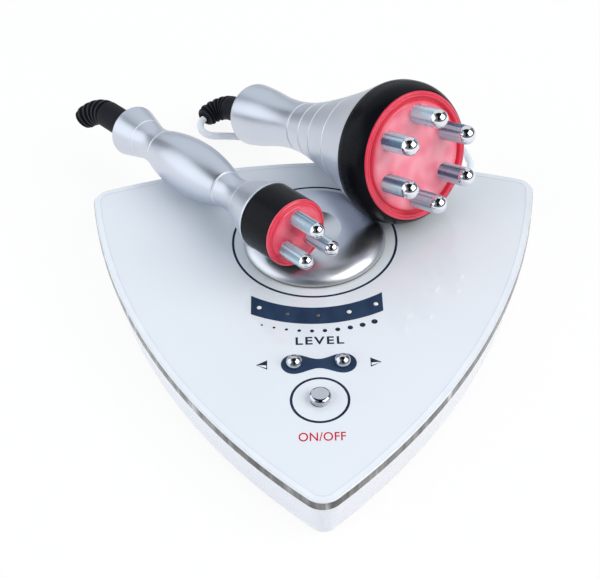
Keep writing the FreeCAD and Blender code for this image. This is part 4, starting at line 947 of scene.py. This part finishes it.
# in a line, a pair is a radius and a station, and a foursome is an arc through one such pair to another
large = {
    "axes": largeAxes, "electrodes": 6, "pitch": 17.35, "phase": 134.4,
    "pinRadius": 3.92, "pinReach": 13.0, "pinFoot": 5.5, "seam": 0.4,
    "bossRadius": 4.5, "bossSpan": (1.0, -0.6), "swell": 0.4, "swellRun": 0.6,
    "turned": {
        "large_handle_shell": {
            "node": "large_handle", "finish": "largeMetal", "slot": "brushed_aluminium",
            "ease": 0.3, "around": 128, "grooves": (37.1, 52.7, 63.7, 74.0), "grooveLeast": 9.0,
            "line": [(23.9, 10.5), (23.9, 14.5), (29.2, 14.5), (21.0, 36.0, 13.9, 60.0),
                     (11.0, 80.0, 12.6, 100.0), (13.6, 106.5, 14.4, 114.0), *tailEnd(14.4, 116.0, 2.0),
                     (7.1, 116.0), (7.1, 111.0), (6.0, 111.0), (6.0, 38.5), (21.7, 14.5), (21.7, 10.5)]},
        "large_rim": {
            "node": "large_head_rim", "finish": "black", "slot": "black_plastic", "ease": 0.3, "around": 128,
            "line": [(26.6, 0.6), (26.8, 0.6), (28.6, 3.6, 29.7, 9.0), (29.7, 12.0), (29.2, 14.5),
                     (24.0, 14.5), (24.0, 5.0), (26.6, 5.0)]},
        "large_red_lens": {
            "node": "large_lens", "finish": "largeLens", "slot": "red_lens", "ease": 0.25, "around": 240,
            "lip": 23.6,
            "line": [(0, 0.0), (21.9, 0.0), (22.5, 0.5), (23.0, 1.9), (23.9, 2.0), (24.0, 0.5), (24.4, 0.0),
                     (24.9, 0.0), (25.15, 0.3), (25.4, 0.0), (26.0, 0.0), (26.5, 0.5), (26.5, 5.0),
                     (0, 5.0)]},
        "large_gland_nut": {
            "node": "large_gland", "finish": "gland", "slot": "gland_plastic", "ease": 0.15, "around": 64,
            "line": [(1.8, 111.0), (7.0, 111.0), (7.0, 115.6), (6.6, 116.0), (1.8, 116.0)]},
    },
}
small = {
    "axes": smallAxes, "electrodes": 3, "pitch": 7.45, "phase": 206.6,
    "pinRadius": 3.2, "pinReach": 14.0, "pinFoot": 5.5, "seam": 0.4,
    "bossRadius": 3.7, "bossSpan": (-0.6, -1.9), "swell": 0.3, "swellRun": 0.5,
    "turned": {
        "small_handle_shell": {
            "node": "small_handle", "finish": "smallMetal", "slot": "brushed_aluminium",
            "ease": 0.2, "around": 112, "grooves": (46.4, 92.8), "grooveLeast": 6.8,
            "line": [(12.4, 9.8), (12.4, 16.6), (14.6, 16.6), (14.6, 17.6), (12.3, 24.2, 9.6, 31.4),
                     (8.9, 32.2), (7.3, 40.0, 7.9, 47.0), (12.0, 72.5, 9.4, 92.0), (8.0, 100.0, 8.9, 107.2),
                     (5.6, 107.2), (5.6, 101.1), (4.0, 101.1), (4.0, 24.6), (10.4, 16.6), (10.4, 9.8)]},
        "small_cap": {
            "node": "small_tail_cap", "finish": "smallMetal", "slot": "brushed_aluminium",
            "ease": 0.25, "around": 112,
            "line": [(5.5, 101.3), (5.5, 107.25), (8.9, 107.25), (10.0, 111.8, 11.5, 117.9),
                     *tailEnd(11.5, 119.5, 1.6), (1.8, 119.5), (1.8, 101.3)]},
        "small_black_collar": {
            "node": "small_collar", "finish": "black", "slot": "black_plastic", "ease": 0.2, "around": 112,
            "line": [(12.5, 0.55), (14.2, 0.55), (14.2, 16.55), (12.5, 16.55)]},
        "small_red_lens": {
            "node": "small_lens", "finish": "smallLens", "slot": "red_lens", "ease": 0.25, "around": 240,
            "lip": 12.4,
            "line": [(0, -1.4), (11.3, -1.4), (11.9, -1.1), (12.2, -0.5), (12.8, -0.5), (13.2, -1.0),
                     (13.6, -1.0), (14.1, -0.5), (14.1, 0.5), (12.4, 0.5), (12.4, 5.0), (0, 5.0)]},
    },
}
for side, hand in (("large", large), ("small", small)):
    axes, body = hand["axes"], side + "_handpiece"
    places = ringPlaces(hand["electrodes"], hand["pitch"], hand["phase"])
    for name, shape in hand["turned"].items():
        isLens = "lip" in shape
        grid = lensGrid(hand, shape, places) if isLens else turnedShape(shape)
        gridPiece(name, placedGrid(grid, axes), finishes[shape["finish"]], body,
                  closeRows=not isLens, standsFor=(shape["node"],))
    for i, spot in enumerate(places):
        number, shift = "_" + str(i + 1), np.array([*spot, 0.0])
        boss = turnedGrid(bossLine(hand), around=72) + shift
        gridPiece(side + "_boss" + number, placedGrid(boss, axes), finishes[side + "Lens"], body,
                  closeRows=True)
        pin = turnedGrid(electrodeLine(hand), around=64) + shift
        gridPiece(side + "_pin" + number, placedGrid(pin, axes), finishes[side + "Pin"], body,
                  standsFor=(side + "_electrode" + number,))
print("handpieces")


# Strain reliefs: a sleeve, then round ribs on a bend

def reliefGrid(axes, shape):
    # radius along the path: plain on the sleeve, then a taper with one round groove before each rib, and a
    # quarter of an ellipse down to the bore at the nose; a row's mark says how far it carries the ridges'
    # painted highlight
    bendRows = np.linspace(0, 1, relief["ribs"] * relief["ribRows"] + 1)[1:]
    share = np.concatenate([np.linspace(-1, 0, relief["sleeveRows"]), bendRows])
    point, ahead, binormal = reliefPath(axes, shape, share)
    side = np.cross(binormal, ahead)
    bent = np.clip(share, 0, 1)
    taper = shape["radius"] * (1 - (1 - relief["tipShare"]) * bent)
    phase = bent * relief["ribs"] % 1.0
    waves = (relief["dip"], relief["ridgeHighlight"])
    dip, ridgeHighlight = (np.exp(-((phase - middle) / half) ** 2) for middle, half in waves)
    dip = dip * (share > 0)
    ridgeHighlight = np.where(share > 0, ridgeHighlight, relief["sleeveMark"])
    bore = cord["diameter"] / 2 + relief["boreGap"]
    past = np.clip((bent - 1) / relief["noseShare"] + 1, 0, 1)
    radius = bore + (taper - relief["groove"] * dip - bore) * np.sqrt(1 - past ** 2)
    angle = np.linspace(0, 2 * math.pi, relief["around"], endpoint=False)[None, :, None]
    outward = side[:, None] * np.cos(angle) + binormal * np.sin(angle)
    rings = point[:, None] + radius[:, None, None] * outward
    mouth = point[-1:, None] + bore * outward[-1:]
    inward = ahead[-1] * relief["mouthDepth"]
    poles = [np.repeat(p[None, None], relief["around"], 1) for p in (point[0], point[-1] - inward)]
    grid = np.concatenate([poles[0], rings, mouth, mouth - inward, poles[1]])
    return grid, np.concatenate([ridgeHighlight[:1], ridgeHighlight, np.zeros(3)])


for name, axes in (("large", largeAxes), ("small", smallAxes)):
    grid, marks = reliefGrid(axes, relief[name])
    gridPiece(name + "_relief", grid, finishes["relief"], name + "_handpiece",
              standsFor=(name + "_strain_relief",), marks=marks)
print("strain reliefs")


# Finishes of the nodes that keep their own shape

inner = {
    "board": mouldedFinish("board_green", tint(44, 96, 66), tint(34, 80, 54), rough=0.4, grain=0.1),
    "film": mouldedFinish("panel_white", tint(238, 242, 248), tint(230, 235, 244), rough=0.4),
    "window": mouldedFinish("window_navy", tint(44, 58, 86), tint(34, 46, 72), rough=0.15),
    "switch": mouldedFinish("switch_black", tint(50, 50, 54), tint(36, 36, 40), rough=0.45),
    "epoxy": glowFinish("led_epoxy", tint(240, 242, 236), tint(214, 218, 212), strength=0.1),
    "redLed": glowFinish("red_led", tint(248, 120, 120), tint(214, 40, 52), strength=0.3),
    "brass": polishedMetal("standoff_brass", tint(214, 182, 112), tint(196, 162, 92), rough=0.25),
    "ferrite": rubberFinish("ferrite_core", tint(70, 66, 64), tint(52, 49, 48), rough=0.6),
    "sleeve": mouldedFinish("capacitor_sleeve", tint(38, 44, 74), tint(28, 32, 58), rough=0.35),
    "sink": turnedMetal("sink_aluminium", tint(196, 198, 202), tint(174, 176, 182), rough=0.4),
    "steel": polishedMetal("screw_steel", tint(204, 206, 210), tint(180, 183, 188), rough=0.22),
}
dressed = {
    "base_housing": finishes["housing"], "glass_top": finishes["glass"], "bottom_cover": finishes["cover"],
    "disc_gasket": finishes["gasket"],
    "backing_panel": inner["film"], "indicator_window": inner["window"], "control_board": inner["board"],
    "rf_board": inner["board"], "large_led_board": inner["board"], "small_led_board": inner["board"],
    "tact_switches": inner["switch"], "buzzer": inner["switch"], "indicator_leds": inner["epoxy"],
    "large_leds": inner["redLed"], "small_led": inner["redLed"], "board_standoffs": inner["brass"],
    "rf_transformer": inner["ferrite"], "capacitors": inner["sleeve"], "heat_sink": inner["sink"],
    "cover_screws": inner["steel"], "dc_inlet": finishes["socket"], "large_socket": finishes["socket"],
    "small_socket": finishes["socket"], "cord_plug": finishes["socket"], "cord_tie": finishes["tie"],
}
dressed.update({"foot_" + str(i): finishes["foot"] for i in range(1, 5)})
for name, material in dressed.items():
    nodes[name].data.materials.clear()
    nodes[name].data.materials.append(material)
print("nodes dressed:", len(dressed))


# Floor, lamps and surroundings

studio = {
    "floorSize": 60.0, "floorTone": tint(250, 250, 251), "floorGlow": 0.9,
    "ambient": 0.2, "ambientTone": (0.80, 0.90, 1.0), "aim": (0.0, 0.0, 0.03),
    "lamps": {  # place, size and power; a lamp that doesn't show is left out of reflections
        "key": {"place": (1.10, -0.50, 1.05), "size": (1.5, 1.3), "power": 19.5, "tone": (1.0, 0.97, 0.92)},
        "fill": {"place": (-0.85, -0.80, 0.75), "size": (0.9, 0.9), "power": 4.0, "tone": (1.0, 1.0, 1.0),
                 "shows": False},
        "left": {"place": (-1.40, -0.05, 0.65), "size": (2.1, 1.3), "power": 10.5, "tone": (0.96, 0.98, 1.0)},
        "rear": {"place": (0.0, 1.75, 1.35), "size": (3.2, 2.9), "power": 19.5, "tone": (0.92, 0.96, 1.0)},
        "dome": {"place": (0.0, 0.0, 2.6), "size": (4.0, 4.0), "power": 12.0, "tone": (0.80, 0.90, 1.0),
                 "shows": False},
    },
    "cards": {  # dark sheets that only reflections see; they face the lamps' aim unless they have their own
        "ceiling": {"place": (0.0, -0.05, 1.5), "size": (1.4, 1.2), "tone": 0.01},
        "front": {"place": (0.0, -1.35, 1.2), "size": (0.9, 1.6), "tone": 0.01},
        "table": {"place": (0.0, 1.10, -0.0018), "aim": (0.0, 1.10, -1.0), "size": (4.0, 1.6), "tone": 0.3},
    },
}


def facing(place, aim):  # the turn of a sheet or lamp at a place whose back is away from its aim
    return (Vector(place) - Vector(aim)).normalized().to_track_quat("Z", "Y").to_matrix()


def stageSheet(name, place, aim, size, material):  # a flat sheet, square to the line to its aim
    half = np.array(size) / 2
    corners = np.array([(-1, -1, 0), (1, -1, 0), (1, 1, 0), (-1, 1, 0)]) * np.array([*half, 0.0])
    turn = np.array(facing(place, aim))
    mesh = bpy.data.meshes.new(name)
    mesh.from_pydata((corners @ turn.T + np.array(place)).tolist(), [], [(0, 1, 2, 3)])
    mesh.materials.append(material)
    sheet = bpy.data.objects.new(name, mesh)
    bpy.context.scene.collection.objects.link(sheet)
    return sheet


def floorFinish():  # white to the eye and in reflections, while a share of it still takes the shadow
    f = Finish("floor_white")
    cloud = f.noise(f.place(), scale=3.0)
    f.dress({"Base Color": f.mix(cloud, tint(248, 248, 250), studio["floorTone"]), "Roughness": 0.9,
             "Specular IOR Level": 0.1})
    path = f.add("ShaderNodeLightPath", output="Is Camera Ray")
    seen = path + path.out("Is Glossy Ray") + path.out("Is Transmission Ray")
    glow = f.add("ShaderNodeEmission", {}, {"Color": (1.0, 1.0, 1.0), "Strength": 1.0})
    plain = Wire(f, f.shader, f.shader.outputs[0])
    both = f.add("ShaderNodeMixShader", {}, {0: seen * studio["floorGlow"], 1: plain, 2: glow})
    f.tree.links.new(both.socket, f.tree.nodes["Material Output"].inputs["Surface"])
    return f.material


def cardFinish(name, tone):  # dull, nearly black or grey, with a slow cloud
    f = Finish(name)
    cloud = f.noise(f.place(), scale=4.0)
    return f.dress({"Base Color": f.mix(cloud, (tone, tone, tone), (tone * 1.4, tone * 1.4, tone * 1.5)),
                    "Roughness": 0.9, "Specular IOR Level": 0.0})


stageSheet("floor", (0.0, 0.0, floorHeight * mm), (0.0, 0.0, -1.0), (studio["floorSize"],) * 2, floorFinish())
for name, card in studio["cards"].items():
    aim = card.get("aim", studio["aim"])
    finish = cardFinish(name + "_card", card["tone"])
    sheet = stageSheet(name + "_card", card["place"], aim, card["size"], finish)
    sheet.visible_camera = False
    sheet.visible_diffuse = False
    sheet.visible_shadow = False
for name, lamp in studio["lamps"].items():
    light = bpy.data.lights.new(name + "_lamp", "AREA")
    light.shape = "RECTANGLE"
    light.size, light.size_y = lamp["size"]
    light.energy = lamp["power"]
    light.color = lamp["tone"]
    lampObject = bpy.data.objects.new(name + "_lamp", light)
    lampTurn = facing(lamp["place"], studio["aim"]).to_4x4()
    lampObject.matrix_world = Matrix.Translation(lamp["place"]) @ lampTurn
    lampObject.visible_camera = False
    lampObject.visible_glossy = lamp.get("shows", True)
    bpy.context.scene.collection.objects.link(lampObject)

world = bpy.data.worlds.new("studio")
world.use_nodes = True
backdrop = world.node_tree.nodes["Background"]
backdrop.inputs["Color"].default_value = (*studio["ambientTone"], 1.0)
backdrop.inputs["Strength"].default_value = studio["ambient"]
plainWhite = world.node_tree.nodes.new("ShaderNodeBackground")  # what the camera sees past the floor's end
plainWhite.inputs["Color"].default_value = (1.0, 1.0, 1.0, 1.0)
whichRay = world.node_tree.nodes.new("ShaderNodeLightPath")
eitherOne = world.node_tree.nodes.new("ShaderNodeMixShader")
skyLinks = world.node_tree.links
skyLinks.new(whichRay.outputs["Is Camera Ray"], eitherOne.inputs[0])
skyLinks.new(backdrop.outputs[0], eitherOne.inputs[1])
skyLinks.new(plainWhite.outputs[0], eitherOne.inputs[2])
skyLinks.new(eitherOne.outputs[0], world.node_tree.nodes["World Output"].inputs["Surface"])
bpy.context.scene.world = world
bpy.context.scene.view_settings.view_transform = "Standard"
print("studio set")
